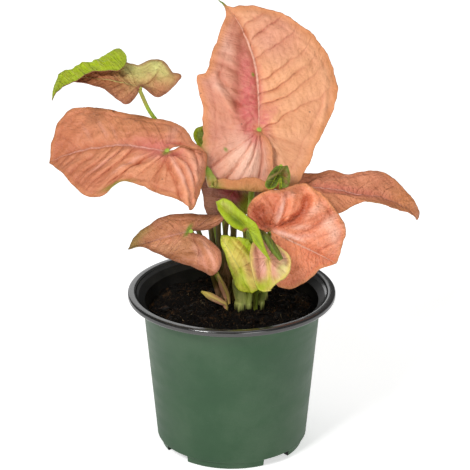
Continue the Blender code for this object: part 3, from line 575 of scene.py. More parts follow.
class Nodes:
    """Short calls that add nodes to one node tree and give back what the new node puts out."""

    def __init__(self, tree):
        self.tree = tree

    def add(self, kind, **settings):
        node = self.tree.nodes.new("ShaderNode" + kind)
        for name, value in settings.items():
            setattr(node, name, value)
        return node

    def plug(self, value, socket):
        if isinstance(value, Value):
            self.tree.links.new(value.socket, socket)
        else:
            socket.default_value = value

    def feed(self, node, inputs, output=0):
        """Plugs values into the node's inputs, which go by name or number."""
        for label, value in inputs.items():
            self.plug(value, node.inputs[label])
        return Value(self, node.outputs[output])

    def math(self, operation, *values):
        return self.feed(self.add("Math", operation=operation), dict(enumerate(values)))

    def blend(self, factor, first, second, mode="MIX"):
        node = self.add("Mix", data_type="RGBA", blend_type=mode)
        return self.feed(node, {0: factor, 6: first, 7: second}, 2)

    def band(self, value, low, high, start=0.0, end=1.0):
        """Eases from start to end while the value goes from low to high."""
        node = self.add("MapRange", interpolation_type="SMOOTHSTEP")
        return self.feed(node, {0: value, 1: low, 2: high, 3: start, 4: end})

    def fade(self, value, low, high):
        return self.band(value, low, high, 1.0, 0.0)

    def noise(self, where, scale, detail=3.0, roughness=0.55):
        inputs = {"Vector": where, "Scale": scale, "Detail": detail, "Roughness": roughness}
        return self.feed(self.add("TexNoise"), inputs, "Fac")

    def cells(self, where, scale, feature="F1"):
        node = self.add("TexVoronoi", feature=feature)
        return self.feed(node, {"Vector": where, "Scale": scale}, "Distance")

    def split(self, vector):
        node = self.add("SeparateXYZ")
        self.plug(vector, node.inputs[0])
        return [Value(self, socket) for socket in node.outputs]

    def join(self, x, y, z):
        return self.feed(self.add("CombineXYZ"), {0: x, 1: y, 2: z})

    def place(self):
        return Value(self, self.add("TexCoord").outputs["Object"])

    def layer(self, name, output="Fac"):
        """A map that the mesh carries."""
        return Value(self, self.add("Attribute", attribute_name=name).outputs[output])


def leaf_skin(n, given):
    """Leaf colour, roughness and fine relief from the maps that a blade's mesh carries."""
    along, across, inset = n.split(n.layer("flat", "Vector"))
    rib, index, spacing = n.split(n.layer("veins", "Vector"))
    second, blush, stain = n.split(n.layer("tones", "Vector"))
    place = n.join(along, across, given["Seed"])
    wander = n.noise(place, 0.25, 2.0) - 0.5

    # Lines: midrib, side veins, finer veins between them, the vein inside the rim and the net
    midrib = n.fade(abs(rib + wander * 0.5) / n.band(inset, 0.0, 22.0, 0.25, 0.85), 0.35, 1.0)
    quilt = n.math("MINIMUM", n.layer("quilt"), 1.3)
    uneven = n.band(n.noise(place, 0.12, 2.0), 0.35, 0.62, 0.3, 1.0) * quilt
    off_vein = n.math("PINGPONG", index, 0.5) * spacing
    side_veins = n.fade(off_vein, 0.06, 0.42) * uneven
    # Painted shade in a broad band along the groove of each side vein, and a painted highlight just past
    # each vein
    vein_groove_shade = n.fade(off_vein, 0.1, 1.9) * quilt
    past_vein = n.math("FRACT", index) * spacing
    lit_side = n.fade(abs(past_vein - 0.85), 0.1, 0.75) * uneven
    off_fine = n.math("PINGPONG", index * 4.0 + wander * 1.4, 0.5) * spacing * 0.25
    fine_veins = n.fade(off_fine, 0.05, 0.4) * n.band(n.noise(place, 0.2, 2.0), 0.4, 0.6, 0.1, 1.0)
    hem_vein = n.fade(abs(inset - (wander * 2.0 + given["Hem"])), 0.1, 0.5)
    moved = n.feed(n.add("VectorMath", operation="MULTIPLY_ADD"),
                   {0: n.join(wander, wander * -1.0, 0.0), 1: (1.5, 1.5, 1.5), 2: place})
    net = n.fade(n.cells(moved, 0.55, "DISTANCE_TO_EDGE"), 0.01, 0.13)
    lines = n.math("MAXIMUM", n.math("MAXIMUM", side_veins, fine_veins * 0.3),
                   n.math("MAXIMUM", hem_vein * 0.5, net * 0.12))

    # Colour: the tones, light and shade, the lines, the rim, stains and small dots
    grain = n.noise(place, 0.9, 5.0, 0.65)
    mixed = n.blend(second, given["Main"], given["Second"])
    drift = n.band(n.noise(place, 0.055, 4.0, 0.6), 0.42, 0.66) * 0.35
    mixed = n.blend(drift * given["Mottling"], mixed, given["Rim"])
    # Pale: paler tissue by the veins, and painted highlights on ridges and facets, both in the midrib's
    # colour
    mixed = n.blend(n.layer("pale") * 0.85, mixed, given["Midrib"])
    patchy = n.band(n.noise(place, 0.5, 3.0), 0.38, 0.58, 0.62, 1.0)
    mixed = n.blend(blush * patchy, mixed, given["Blush"])
    streak = n.noise(n.join(index * 1.6, off_vein * 0.25, given["Seed"]), 1.0, 2.0)
    # Shade: random grain and streaks, then painted light and shade read from the blade's relief (ridges
    # lighter, hollows and furrows darker), the painted highlight past each vein and the painted shade in the
    # vein grooves
    shade = n.band(grain, 0.3, 0.7, -0.09, 0.06) * given["Mottling"]
    shade = shade + n.band(streak, 0.3, 0.7, -0.06, 0.06) + n.band(n.layer("swell"), -1.8, 1.6, -0.26, 0.2)
    shade = shade + lit_side * 0.13 + vein_groove_shade * -0.05 + 1.0
    # The painted shade turns redder as it darkens
    warm = n.join(n.math("POWER", shade, 0.6), shade, n.math("POWER", shade, 1.15))
    mixed = n.blend(1.0, mixed, warm, "MULTIPLY")
    mixed = n.blend(lines * given["Vein Strength"] * 0.75, mixed, given["Vein"])
    mixed = n.blend(midrib * n.band(grain, 0.3, 0.7, 0.5, 0.85), mixed, given["Midrib"])
    edge = inset + wander * 1.6
    mixed = n.blend(n.band(edge / given["Rim Width"], 0.0, 1.6, 0.75, 0.0), mixed, given["Rim"])
    mixed = n.blend(n.band(edge, -0.2, 0.5, 0.35, 0.0), mixed, DRY_EDGE)
    mixed = n.blend(stain, mixed, given["Stain"])
    spotty = n.band(n.noise(place, 0.11, 1.0), 0.55, 0.62, 0.0, 0.55)
    mixed = n.blend(n.fade(n.cells(place, 0.16), 0.05, 0.09) * spotty, mixed, DARK_DOTS)

    # Roughness and relief in millimetres
    rough = given["Roughness"] + n.band(grain, 0.25, 0.75, -0.07, 0.10) + lines * 0.08
    relief = side_veins * -0.15 + midrib * 0.2 + fine_veins * -0.08 + net * -0.03
    across_veins = n.join(index * 2.2, rib * 0.16, given["Seed"])
    rumple = n.noise(across_veins, 1.0, 4.0, 0.6) * 2.2 + n.noise(place, 0.45, 4.0) * 0.8
    rumple = rumple + n.noise(place, 0.16, 3.0) * 2.2
    return mixed, rough, relief + rumple * given["Crinkle"]


def plastic_skin(n, given):
    """Moulded plastic: faint flow marks, dust that settles on it and small scuffs."""
    place = n.place()
    x, y, z = n.split(place)
    cloud = n.noise(place, 26.0, 4.0, 0.6)
    fine = n.noise(place, 1500.0, 3.0, 0.6)
    flow = n.noise(n.join(x * 0.35, y * 0.35, z * 3.0), 60.0, 3.0)
    scuff = n.band(n.noise(n.join(x, y, z * 9.0), 190.0, 5.0, 0.7), 0.66, 0.74)
    tone = n.band(cloud, 0.3, 0.7, 0.93, 1.06) + n.band(flow, 0.3, 0.7, -0.03, 0.03)
    mixed = n.blend(1.0, given["Plastic"], n.join(tone, tone, tone), "MULTIPLY")
    dust = n.band(cloud + fine * 0.25, 0.5, 0.85) * given["Dust Amount"] + scuff * 0.08
    rough = given["Roughness"] + n.band(flow, 0.3, 0.7, -0.05, 0.05) + dust * 0.5
    relief = fine * given["Grain"] + n.noise(place, 130.0, 2.0) * 0.12 + scuff * -0.02
    return n.blend(dust, mixed, given["Dust"]), rough, relief


def earth_grain(n, given):
    """Damp peat, bark and fibre: crumbs with dry tops and dark hollows."""
    scaled = n.add("VectorMath", operation="SCALE")
    place = n.feed(scaled, {"Vector": n.place(), "Scale": given["Scale"]})
    crumbs = n.noise(place, 320.0, 6.0, 0.72)
    clods = n.noise(place, 70.0, 3.0)
    # Colour follows the crumbs that also make the relief: dark in their hollows and light on their tops,
    # partly the peat's own dry and damp tones and partly painted shade and light
    light = n.band(crumbs, 0.5, 0.74) + n.band(clods, 0.45, 0.75, -0.35, 0.3)
    flecks = n.band(n.noise(place, 1500.0, 2.0), 0.68, 0.75) * 0.8
    mixed = n.blend(n.math("MAXIMUM", light, flecks), given["Dark"], given["Light"])
    damp = n.band(clods, 0.35, 0.65) * given["Damp"]
    rough = n.band(crumbs, 0.3, 0.7, 0.8, 0.95) - damp * 0.45
    return mixed, rough, crumbs * 1.3 + n.cells(place, 900.0) * 0.5


def stalk_skin(n, given):
    """Leaf stalk: lengthwise streaks, paler towards the soil and dirty where it leaves it."""
    x, y, z = n.split(n.place())
    place = n.join(x, y, z * 0.08)
    streaks = n.noise(place, 950.0, 3.0, 0.6)
    clouds = n.noise(n.join(x, y, z), 90.0, 3.0)
    mixed = n.blend(n.band(z, 0.072, given["Foot Height"]), given["Foot"], given["Top"])
    mixed = n.blend(n.band(streaks, 0.42, 0.7, 0.0, 0.5), mixed, given["Deep"])
    mixed = n.blend(n.band(clouds, 0.45, 0.62) * given["Blushing"], mixed, given["Blush"])
    dirt = n.band(z + n.noise(place, 700.0, 3.0) * -0.012, 0.0685, 0.0735, 0.95, 0.0)
    mixed = n.blend(dirt, mixed, WET_SOIL)
    return mixed, n.band(clouds, 0.3, 0.7, 0.34, 0.5), streaks * 0.25


# Node groups: what fills each, and its inputs with their defaults
SKINS = {
    "Leaf skin": (leaf_skin, {
        **dict.fromkeys(("Main", "Second", "Blush", "Stain", "Vein", "Midrib", "Rim"), GREY),
        "Vein Strength": 0.6, "Rim Width": 1.6, "Mottling": 0.5, "Roughness": 0.46, "Hem": 3.2,
        "Crinkle": 1.0, "Seed": 0.0}),
    "Plastic skin": (plastic_skin, {
        "Plastic": GREY, "Dust": DUST, "Dust Amount": 0.2, "Roughness": 0.4, "Grain": 0.03}),
    "Earth grain": (earth_grain, {"Dark": GREY, "Light": GREY, "Scale": 1.0, "Damp": 0.5}),
    "Stalk skin": (stalk_skin, {
        **dict.fromkeys(("Top", "Deep", "Foot", "Blush"), GREY), "Foot Height": 0.09, "Blushing": 0.3}),
}
SKIN_OUTPUTS = {"Colour": "NodeSocketColor", "Roughness": "NodeSocketFloat", "Height": "NodeSocketFloat"}


def skin_group(name):
    """The node group of that name, built the first time that it is asked for."""
    if name in bpy.data.node_groups:
        return bpy.data.node_groups[name]
    fill, inputs = SKINS[name]
    group = bpy.data.node_groups.new(name, "ShaderNodeTree")
    for label, default in inputs.items():
        kind = "NodeSocketColor" if isinstance(default, tuple) else "NodeSocketFloat"
        group.interface.new_socket(name=label, in_out="INPUT", socket_type=kind).default_value = default
    for label, kind in SKIN_OUTPUTS.items():
        group.interface.new_socket(name=label, in_out="OUTPUT", socket_type=kind)
    n = Nodes(group)
    start, end = group.nodes.new("NodeGroupInput"), group.nodes.new("NodeGroupOutput")
    outputs = fill(n, {label: Value(n, start.outputs[label]) for label in inputs})
    for label, value in zip(SKIN_OUTPUTS, outputs):
        n.plug(value, end.inputs[label])
    return group


def new_material(name):
    """A Principled material, its nodes and its shader."""
    material = bpy.data.materials.new(name)
    material.use_nodes = True
    return material, Nodes(material.node_tree), material.node_tree.nodes["Principled BSDF"]


def finish_material(name, skin, specular, values):
    """A material fed by one of the skins. The specular level is set on the shader's own socket."""
    material, n, shader = new_material(name)
    shader.inputs["Specular IOR Level"].default_value = specular
    group = n.add("Group", node_tree=skin_group(skin))
    for label, value in values.items():
        group.inputs[label].default_value = (*value, 1) if hasattr(value, "__len__") else value
    made = {label: Value(n, group.outputs[label]) for label in SKIN_OUTPUTS}
    relief = n.feed(n.add("Bump"), {"Strength": 1.0, "Distance": MM, "Height": made["Height"]})
    n.feed(shader, {"Base Color": made["Colour"], "Roughness": made["Roughness"], "Normal": relief})
    return material


def leaf_material(name, roles, settings, seed, values):
    colours = {role: getattr(settings, tone) for role, tone in roles.items()}
    return finish_material(name, "Leaf skin", 0.45, {**colours, "Seed": float(seed), **values})


# Pieces

def link(name, data):
    """A new object in the scene."""
    thing = bpy.data.objects.new(name, data)
    bpy.context.scene.collection.objects.link(thing)
    return thing


def add_piece(name, data, slot, *nodes):
    """Links a piece, rides it on the plant's body and hides the solids that it stands for."""
    piece = link(name, data)
    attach(piece, BODY)
    if nodes:
        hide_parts(*nodes)
    return piece


def thicken(piece, thickness, under=0):
    """Gives a sheet its thickness, its lower side in the material that many slots further on."""
    solid = piece.modifiers.new("thickness", "SOLIDIFY")
    solid.thickness = thickness
    solid.offset = 0
    solid.material_offset = under


def new_mesh(name, millimetres, faces):
    mesh = bpy.data.meshes.new(name)
    mesh.from_pydata((np.asarray(millimetres, float) * MM).tolist(), [], faces)
    mesh.shade_smooth()
    return mesh


def store_map(mesh, name, values):
    """Keeps one or three numbers for every vertex under a name that the finishes read."""
    values = np.asarray(values, np.float32)
    kind, entry = ("FLOAT", "value") if values.ndim == 1 else ("FLOAT_VECTOR", "vector")
    mesh.attributes.new(name, kind, "POINT").data.foreach_set(entry, values.ravel())


def grid_faces(rows, columns, start=0):
    """Quads between neighbouring points of a grid of rows."""
    return [(here + c, here + c + 1, here + columns + c + 1, here + columns + c)
            for here in range(start, start + (rows - 1) * columns, columns) for c in range(columns - 1)]


def new_curve(name, resolution, material):
    """An empty curve that is bevelled to closed tubes."""
    curve = bpy.data.curves.new(name, "CURVE")
    curve.dimensions = "3D"
    curve.bevel_depth = MM
    curve.bevel_resolution = resolution
    curve.use_fill_caps = True
    curve.materials.append(material)
    return curve


def add_strand(curve, path, radii):
    """One tube of the curve, through the path in millimetres."""
    spline = curve.splines.new("POLY")
    spline.points.add(len(path) - 1)
    for point, place, radius in zip(spline.points, path, radii):
        point.co = (*(np.asarray(place) * MM), 1)
        point.radius = radius


class Undoable:
    """Options that all operators share."""
    bl_options = {"REGISTER", "UNDO"}


# Leaf blades

# How closely the points crowd towards the rim, and the seed step from the upper to the lower side
RING_POWER = 0.9
UNDER_SEED = 50


def spline_points(points, steps):
    """A smooth curve through the points, with `steps` pieces between neighbours."""
    p = np.asarray(points, float)
    ends = np.vstack([2 * p[0] - p[1], p, 2 * p[-1] - p[-2]])
    s = (np.arange(steps) / steps)[:, None]
    spans = [0.5 * (2 * b + (c - a) * s + (2 * a - 5 * b + 4 * c - d) * s ** 2
                    + (3 * b - a - 3 * c + d) * s ** 3)
             for a, b, c, d in zip(ends, ends[1:], ends[2:], ends[3:])]
    return np.vstack(spans + [p[-1:]])


def ease(value, low, high):
    """Smooth step from 0 to 1 while the value goes from low to high."""
    share_of = np.clip((value - low) / (high - low), 0, 1)
    return share_of * share_of * (3 - 2 * share_of)


def waves(x, y, length, seed, number=6):
    """Gentle irregular swell of about that wavelength, between about -1 and 1."""
    rng = np.random.default_rng(seed)
    total = 0
    for _ in range(number):
        turn, phase = rng.uniform(0, FULL_TURN, 2)
        wave = FULL_TURN / (length * rng.uniform(0.7, 1.5))
        total = total + np.sin(wave * (x * math.cos(turn) + y * math.sin(turn)) + phase)
    return total / math.sqrt(2 * number)


def path_distance(x, y, path):
    """Distance from every point to a line of straight pieces."""
    nearest = np.full(x.shape, np.inf)
    for (ax, ay), (bx, by) in zip(path[:-1], path[1:]):
        dx, dy = bx - ax, by - ay
        long = dx * dx + dy * dy
        t = np.clip(((x - ax) * dx + (y - ay) * dy) / max(long, 1e-9), 0, 1)
        nearest = np.minimum(nearest, (x - ax - t * dx) ** 2 + (y - ay - t * dy) ** 2)
    return np.sqrt(nearest)


def rim_distance(x, y, off_tip):
    """Distance to the rim. Each half sees its own side of the notch, because the lobes can overlap."""
    rim, off = np.stack([x[:, -1], y[:, -1]], -1), off_tip[:, 0]
    right = np.vstack([np.stack([x[0], y[0]], -1), rim[off < math.pi / 2]])
    left = np.vstack([rim[off > -math.pi / 2], np.stack([x[-1], y[-1]], -1)[::-1]])
    return np.where(off_tip < 0, path_distance(x, y, right), path_distance(x, y, left))


def roll_sheet(x, y, z, roll):
    """Rolls what lies beyond a line up (angle > 0) or down (angle < 0)."""
    bearing = math.radians(roll.bearing)
    cos_b, sin_b = math.cos(bearing), math.sin(bearing)
    ahead, aside = x * cos_b + y * sin_b, y * cos_b - x * sin_b
    over = np.maximum(ahead - roll.distance, 0)
    side = math.copysign(1, roll.angle)
    turn = np.minimum(over / roll.radius, abs(math.radians(roll.angle)))
    rest = over - turn * roll.radius
    arm = roll.radius - (0 if roll.rides else side * z)
    rolled_ahead = roll.distance + arm * np.sin(turn) + rest * np.cos(turn)
    rolled_up = side * (roll.radius - arm * np.cos(turn) + rest * np.sin(turn)) + (z if roll.rides else 0)
    ahead = np.where(over > 0, rolled_ahead, ahead)
    z = np.where(over > 0, rolled_up, z)
    return ahead * cos_b - aside * sin_b, ahead * sin_b + aside * cos_b, z


def leaf_axes(leaf):
    """Unit vectors towards the tip, to the left and out of the upper face."""
    up = np.array(leaf.facing, float)
    up /= np.linalg.norm(up)
    ahead = np.array(leaf.heading, float)
    ahead -= up * (ahead @ up)
    ahead /= np.linalg.norm(ahead)
    return ahead, np.cross(up, ahead), up


def vein_map(leaf, reach, bearing, off_tip, tip_reach, tip_bearing):
    """Off the midrib, count along the side veins (whole numbers lie on one) and the step between them."""
    near_tip = (1 + np.cos(off_tip)) / 2
    bend = tip_bearing * (1 - leaf.curve * (1 - np.minimum(reach / tip_reach, 1) ** 2)) * near_tip
    turned = bearing - bend
    ahead, aside = reach * np.cos(turned), reach * np.sin(turned)
    off = np.abs(aside)
    lifted = ahead - leaf.vein_bow * off ** 2
    beyond = lifted - leaf.vein_slope * off
    first = math.atan2(1, leaf.vein_slope)
    angle = np.arctan2(off, lifted)
    lapped = np.abs(turned) > math.pi
    angle = np.where(lapped, FULL_TURN - angle, angle)
    aside = np.where(lapped, np.copysign(off, off_tip), aside)
    back = np.clip((angle - first) / (math.pi - first), 0.001, 2)
    back = back * (1 + leaf.lobe_bow * reach / (math.pi - first))

    # Left and right veins leave the midrib at slightly different places, and each goes its own way
    index = np.where(beyond > 0, beyond / leaf.vein_step, -leaf.lobe_veins * back ** leaf.lobe_power)
    index = index + 0.22 * np.tanh(aside / 1.5)
    stagger = 1.7 * index + leaf.seed
    index = index + 0.2 * np.sin(stagger) + 0.13 * waves(ahead, aside, 26, leaf.seed + 5)
    index = index + 0.05 * waves(ahead, aside, 9, leaf.seed + 6)
    slope = leaf.vein_slope + 2 * leaf.vein_bow * off
    spread = leaf.lobe_veins * leaf.lobe_power * back ** (leaf.lobe_power - 1) / (math.pi - first)
    spacing = np.where(beyond > 0, leaf.vein_step / np.sqrt(1 + slope ** 2), reach / spread)
    spacing = spacing / (1 + 0.34 * np.cos(stagger))
    rib = np.where(ahead > 0, aside, np.copysign(reach, aside))
    return rib, index, np.clip(spacing, 0.2, 11)


def quilt_map(leaf, x, y, rib, index):
    """How deep the quilting is: each half and lobe has its share, and it dies out towards the rim."""
    front_right, front_left, lobe_right, lobe_left = leaf.quilted
    left, behind = ease(rib, -2, 2), ease(-index, -0.5, 1.5)
    front = front_right + (front_left - front_right) * left
    lobe = lobe_right + (lobe_left - lobe_right) * left
    fade = 1 - 0.65 * ease(np.abs(rib), 9, 30)
    return (front + (lobe - front) * behind) * fade * (0.85 + 0.3 * waves(x, y, 18, leaf.seed + 4))


def bell(value, width):
    """1 at zero, falling off smoothly over that width."""
    return np.exp(-(value / width) ** 2)


def blade_relief(leaf, x, y, inset, rib, index, spacing, quilt):
    """Swelling between the veins, grooves along them and folds, then the slow unevenness, in mm."""
    height = leaf.swell * quilt
    hem = ease(inset, 0.5, 5.0)
    rise = np.sin(math.pi * (index - np.floor(index)) ** 0.6)
    relief = height * np.minimum(spacing, 7) / 7 * rise * hem
    relief = relief * ease(np.abs(rib), 0, 5)
    relief -= 0.9 * leaf.swell * bell(rib, 1.5) * ease(inset, 1, 12)
    relief -= 0.35 * leaf.swell * bell(inset - leaf.hem, 0.9)
    relief -= 0.25 * height * bell(np.abs(index - np.round(index)) * spacing, 0.6) * hem
    relief += 0.34 * waves(x, y, 7.5, leaf.seed + 1) + 0.14 * waves(x, y, 3.0, leaf.seed + 2)
    for width, fold_height, *path in leaf.folds:
        relief += fold_height * bell(path_distance(x, y, spline_points(path, 6)), width)
    return relief, 0.9 * waves(x, y, 24, leaf.seed) * ease(np.hypot(x, y), 0, 12)


def tone_map(leaf, x, y, rib):
    """Shares of the second tone, the blush and the stain at every point, and how pale it is."""
    right_share, left_share = leaf.second_halves
    # Pale shares stand for paler tissue and for painted highlights
    shares = {tone: np.zeros(x.shape) for tone in ("blush", "stain", "pale")}
    shares["second"] = right_share + (left_share - right_share) * ease(rib, -2.5, 2.5)
    ragged = 1 + 0.18 * waves(x, y, 4.5, leaf.seed + 9)
    for tone, patches in leaf.patches.items():
        for patch in (Patch(*values) for values in patches):
            turn = math.radians(patch.turn)
            dx, dy = x - patch.along, y - patch.across
            u = (dx * math.cos(turn) + dy * math.sin(turn)) / patch.length
            v = (dy * math.cos(turn) - dx * math.sin(turn)) / patch.width
            soft = patch.strength * np.exp(-((u * u + v * v) * ragged) ** 1.3)
            if tone == "main":
                shares["second"] = shares["second"] * (1 - soft)
            else:
                shares[tone] = 1 - (1 - shares[tone]) * (1 - soft)
    stack = np.stack([np.clip(shares[tone], 0, 1) for tone in ("second", "blush", "stain")], -1)
    return stack, shares["pale"]


def blade_edge(leaf, step):
    """The outline as lifted points and, for each, its reach and its bearing from the joint."""
    outline = np.array(leaf.right + [leaf.tip] + leaf.left, float)
    mean_span = np.linalg.norm(np.diff(outline, axis=0), axis=1).mean()
    edge_steps = max(3, round(mean_span / step))
    right = spline_points(leaf.right + [leaf.tip], edge_steps)
    left = spline_points([leaf.tip] + leaf.left, edge_steps)
    edge = np.vstack([right, left[1:]])
    reach = np.hypot(edge[:, 0], edge[:, 1])[:, None]
    bearing = np.unwrap(np.arctan2(edge[:, 1], edge[:, 0]))
    turns = round((math.atan2(leaf.tip[1], leaf.tip[0]) - bearing[len(right) - 1]) / FULL_TURN)
    x, y = edge[:, :1], edge[:, 1:2]
    ragged = waves(x, y, 11, leaf.seed + 3) + 0.4 * waves(x, y, 3.5, leaf.seed)
    reach = reach + leaf.ragged * ragged * ease(reach, 4, 14)
    return edge, reach, (bearing + FULL_TURN * turns)[:, None]


def blade_mesh(leaf, settings):
    """The blade's middle surface with the maps that its finish reads."""
    step = settings.step / MM
    edge, reach, bearing = blade_edge(leaf, step)
    rows, rings = len(edge), max(8, round(reach.max() / step))
    out = (np.arange(1, rings + 1) / rings)[None] ** RING_POWER
    tip_bearing = math.atan2(leaf.tip[1], leaf.tip[0])
    off_tip = bearing - tip_bearing

    # Rays curve with the midrib near the tip, and away from the notch near the joint
    near_tip = (1 + np.cos(off_tip)) / 2
    near_notch = ((1 - np.cos(off_tip)) / 2) ** 2
    curved = bearing - leaf.curve * tip_bearing * (1 - out ** 2) * near_tip
    curved = curved - math.radians(leaf.notch) * (1 - out) ** 2 * near_notch * np.sign(off_tip)
    radius = reach * out
    x, y = radius * np.cos(curved), radius * np.sin(curved)
    inset = rim_distance(x, y, off_tip)
    rib, index, spacing = vein_map(leaf, radius, curved, off_tip, math.hypot(*leaf.tip[:2]), tip_bearing)
    quilt = quilt_map(leaf, x, y, rib, index) * settings.quilting
    tone_shares, pale = tone_map(leaf, x, y, rib)
    swell, sway = blade_relief(leaf, x, y, inset, rib, index, spacing, quilt)
    maps = {"flat": np.stack([x, y, inset], -1), "veins": np.stack([rib, index, spacing], -1),
            "tones": tone_shares}
    # The finish paints light on the ridges and shade in the hollows from the swell map
    single_maps = {"swell": swell, "quilt": quilt, "pale": pale}

    round_the_edge = np.linspace(0, 1, rows)[:, None]
    z = edge[:, 2:3] * out ** leaf.lift_power
    z = z + leaf.crease * radius * np.abs(np.sin(off_tip / 2))
    z = z + leaf.ripple_height * out ** 3 * np.sin(FULL_TURN * leaf.ripples * round_the_edge + 0.7)
    z = z + leaf.dome * np.sin(math.pi * out) * reach / reach.max()
    z = z + (swell + sway) * ease(radius, 0, 3)
    for roll in leaf.rolls:
        x, y, z = roll_sheet(x, y, z, roll)
    joint = np.array(leaf.joint, float)
    points = joint + sum(part[..., None] * axis for part, axis in zip((x, y, z), leaf_axes(leaf)))

    vertices = np.vstack([joint, points.reshape(-1, 3)])
    faces = [(0, 1 + row * rings, 1 + (row + 1) * rings) for row in range(rows - 1)]
    mesh = new_mesh(leaf.name, vertices, faces + grid_faces(rows, rings, 1))
    for name, values in maps.items():
        store_map(mesh, name, np.vstack([values[:, 0].mean(0), values.reshape(-1, 3)]))
    for name, values in single_maps.items():
        store_map(mesh, name, np.concatenate([[0], values.ravel()]))
    return mesh


def build_leaf(leaf, settings):
    mesh = blade_mesh(leaf, settings)
    lines = {"Hem": leaf.hem, "Rim Width": leaf.rim, "Vein Strength": leaf.vein_strength,
             "Roughness": leaf.gloss, "Crinkle": leaf.crinkle}
    sides = (("upper", leaf.upper, leaf.seed), ("under", leaf.under, leaf.seed + UNDER_SEED))
    for side, roles, seed in sides:
        mesh.materials.append(leaf_material(f"{leaf.name}_{side}", roles, settings, seed, lines))
    thicken(add_piece(leaf.name + "_blade", mesh, leaf.slot, leaf.name), settings.thickness, 1)


class SYNGONIUM_OT_leaf(Undoable, bpy.types.Operator):
    """Adds one veined leaf blade in place of its solid"""
    bl_idname = "syngonium.leaf"
    bl_label = "Add leaf"

    name: EnumProperty(name="Leaf", description="Which leaf to add",
                       items=[(leaf.name, leaf.name.replace("_", " ").capitalize(), "") for leaf in LEAVES])

    def execute(self, context):
        leaf = next(one for one in LEAVES if one.name == self.name)
        build_leaf(leaf, context.scene.syngonium.leaves)
        return {"FINISHED"}


# Stalks and shoots

# The fine roots: how thick they are, where they start, how high they climb over the soil, and how
# far one bend of theirs goes in x, y and z
ROOT_SEED = 41
ROOT_RADII = (0.22, 0.5)
ROOT_X = (-6, 8)
ROOT_Y = (-2, 6)
ROOT_TOP = (8, 32)
ROOT_BEND = ((-1.4, 1.4), (-0.8, 0.8), (2.5, 5.0))
# Turns and points round a blade that is rolled on itself, and its radius from inside to outside
ROLL_LAPS = 1.25
ROLL_SIDES = 36
ROLL_GROWTH = (0.72, 1.12)
SHOOT_THICKNESS = 0.35
SHOOT_SEED = 61


def stalk_materials(settings):
    """The finish of every kind of stalk, by name."""
    fresh = {"Top": settings.fresh, "Deep": settings.deep, "Foot": settings.pale, "Blush": settings.blush}
    dry = {"Top": settings.dry, "Deep": settings.moss, "Foot": settings.dry, "Blushing": 0.7}
    kinds = {"green_stalk": {"Foot Height": 0.096, "Blushing": 0.35},
             "pale_stalk": {"Top": settings.pale, "Foot Height": 0.12, "Blushing": 0.1}, "dry_stalk": dry}
    return {name: finish_material(name + "_skin", "Stalk skin", 0.25, {**fresh, **values})
            for name, values in kinds.items()}


def add_tube(name, slot, nodes, path, radii, sides, material):
    curve = new_curve(name, sides, material)
    add_strand(curve, path, radii)
    add_piece(name, curve, slot, *nodes)


def build_stalk(leaf, stalk, soil_top, settings, materials):
    joint = np.array(leaf.joint, float)
    up = leaf_axes(leaf)[2]
    foot = [(*stalk.foot, soil_top + height) for height in STALK_STRAIGHT]
    path = spline_points(foot + stalk.through + [tuple(joint - up * STALK_NECK)], settings.steps)
    path = np.vstack([path, joint - up * NECK_END, joint + up * leaf.stalk_through])
    taper = np.clip(np.linspace(-0.3, 1.15, len(path)), 0, 1)
    radii = stalk.foot_radius + (stalk.neck_radius - stalk.foot_radius) * taper
    radii = radii * (1 + settings.sheath * bell(path[:, 2] - soil_top - 4, 12))
    name = leaf.name.replace("_leaf", "_stalk")
    add_tube(name + "_skin", stalk.finish, [name], path, radii, settings.sides, materials[stalk.finish])


def build_undergrowth(soil_top, settings, dry):
    """Dry stalks of old leaves between the others, and fine roots that climb round the feet."""
    for number, (radius, points) in enumerate(DRY_STALKS, 1):
        path = spline_points(points, settings.steps)
        radii = radius * np.linspace(1, 0.6, len(path))
        add_tube(f"dry_stalk_{number}", "green_stalk", [], path, radii, settings.sides, dry)
    rng = random.Random(ROOT_SEED)
    for number in range(1, settings.roots + 1):
        points = [(rng.uniform(*ROOT_X), rng.uniform(*ROOT_Y), soil_top - 3)]
        top = soil_top + rng.uniform(*ROOT_TOP)
        while points[-1][2] < top:
            points.append(tuple(old + rng.uniform(*span) for old, span in zip(points[-1], ROOT_BEND)))
        path = spline_points(points, 5)
        radii = rng.uniform(*ROOT_RADII) * np.linspace(1, 0.4, len(path))
        add_tube(f"climbing_root_{number}", "green_stalk", [], path, radii, 2, dry)


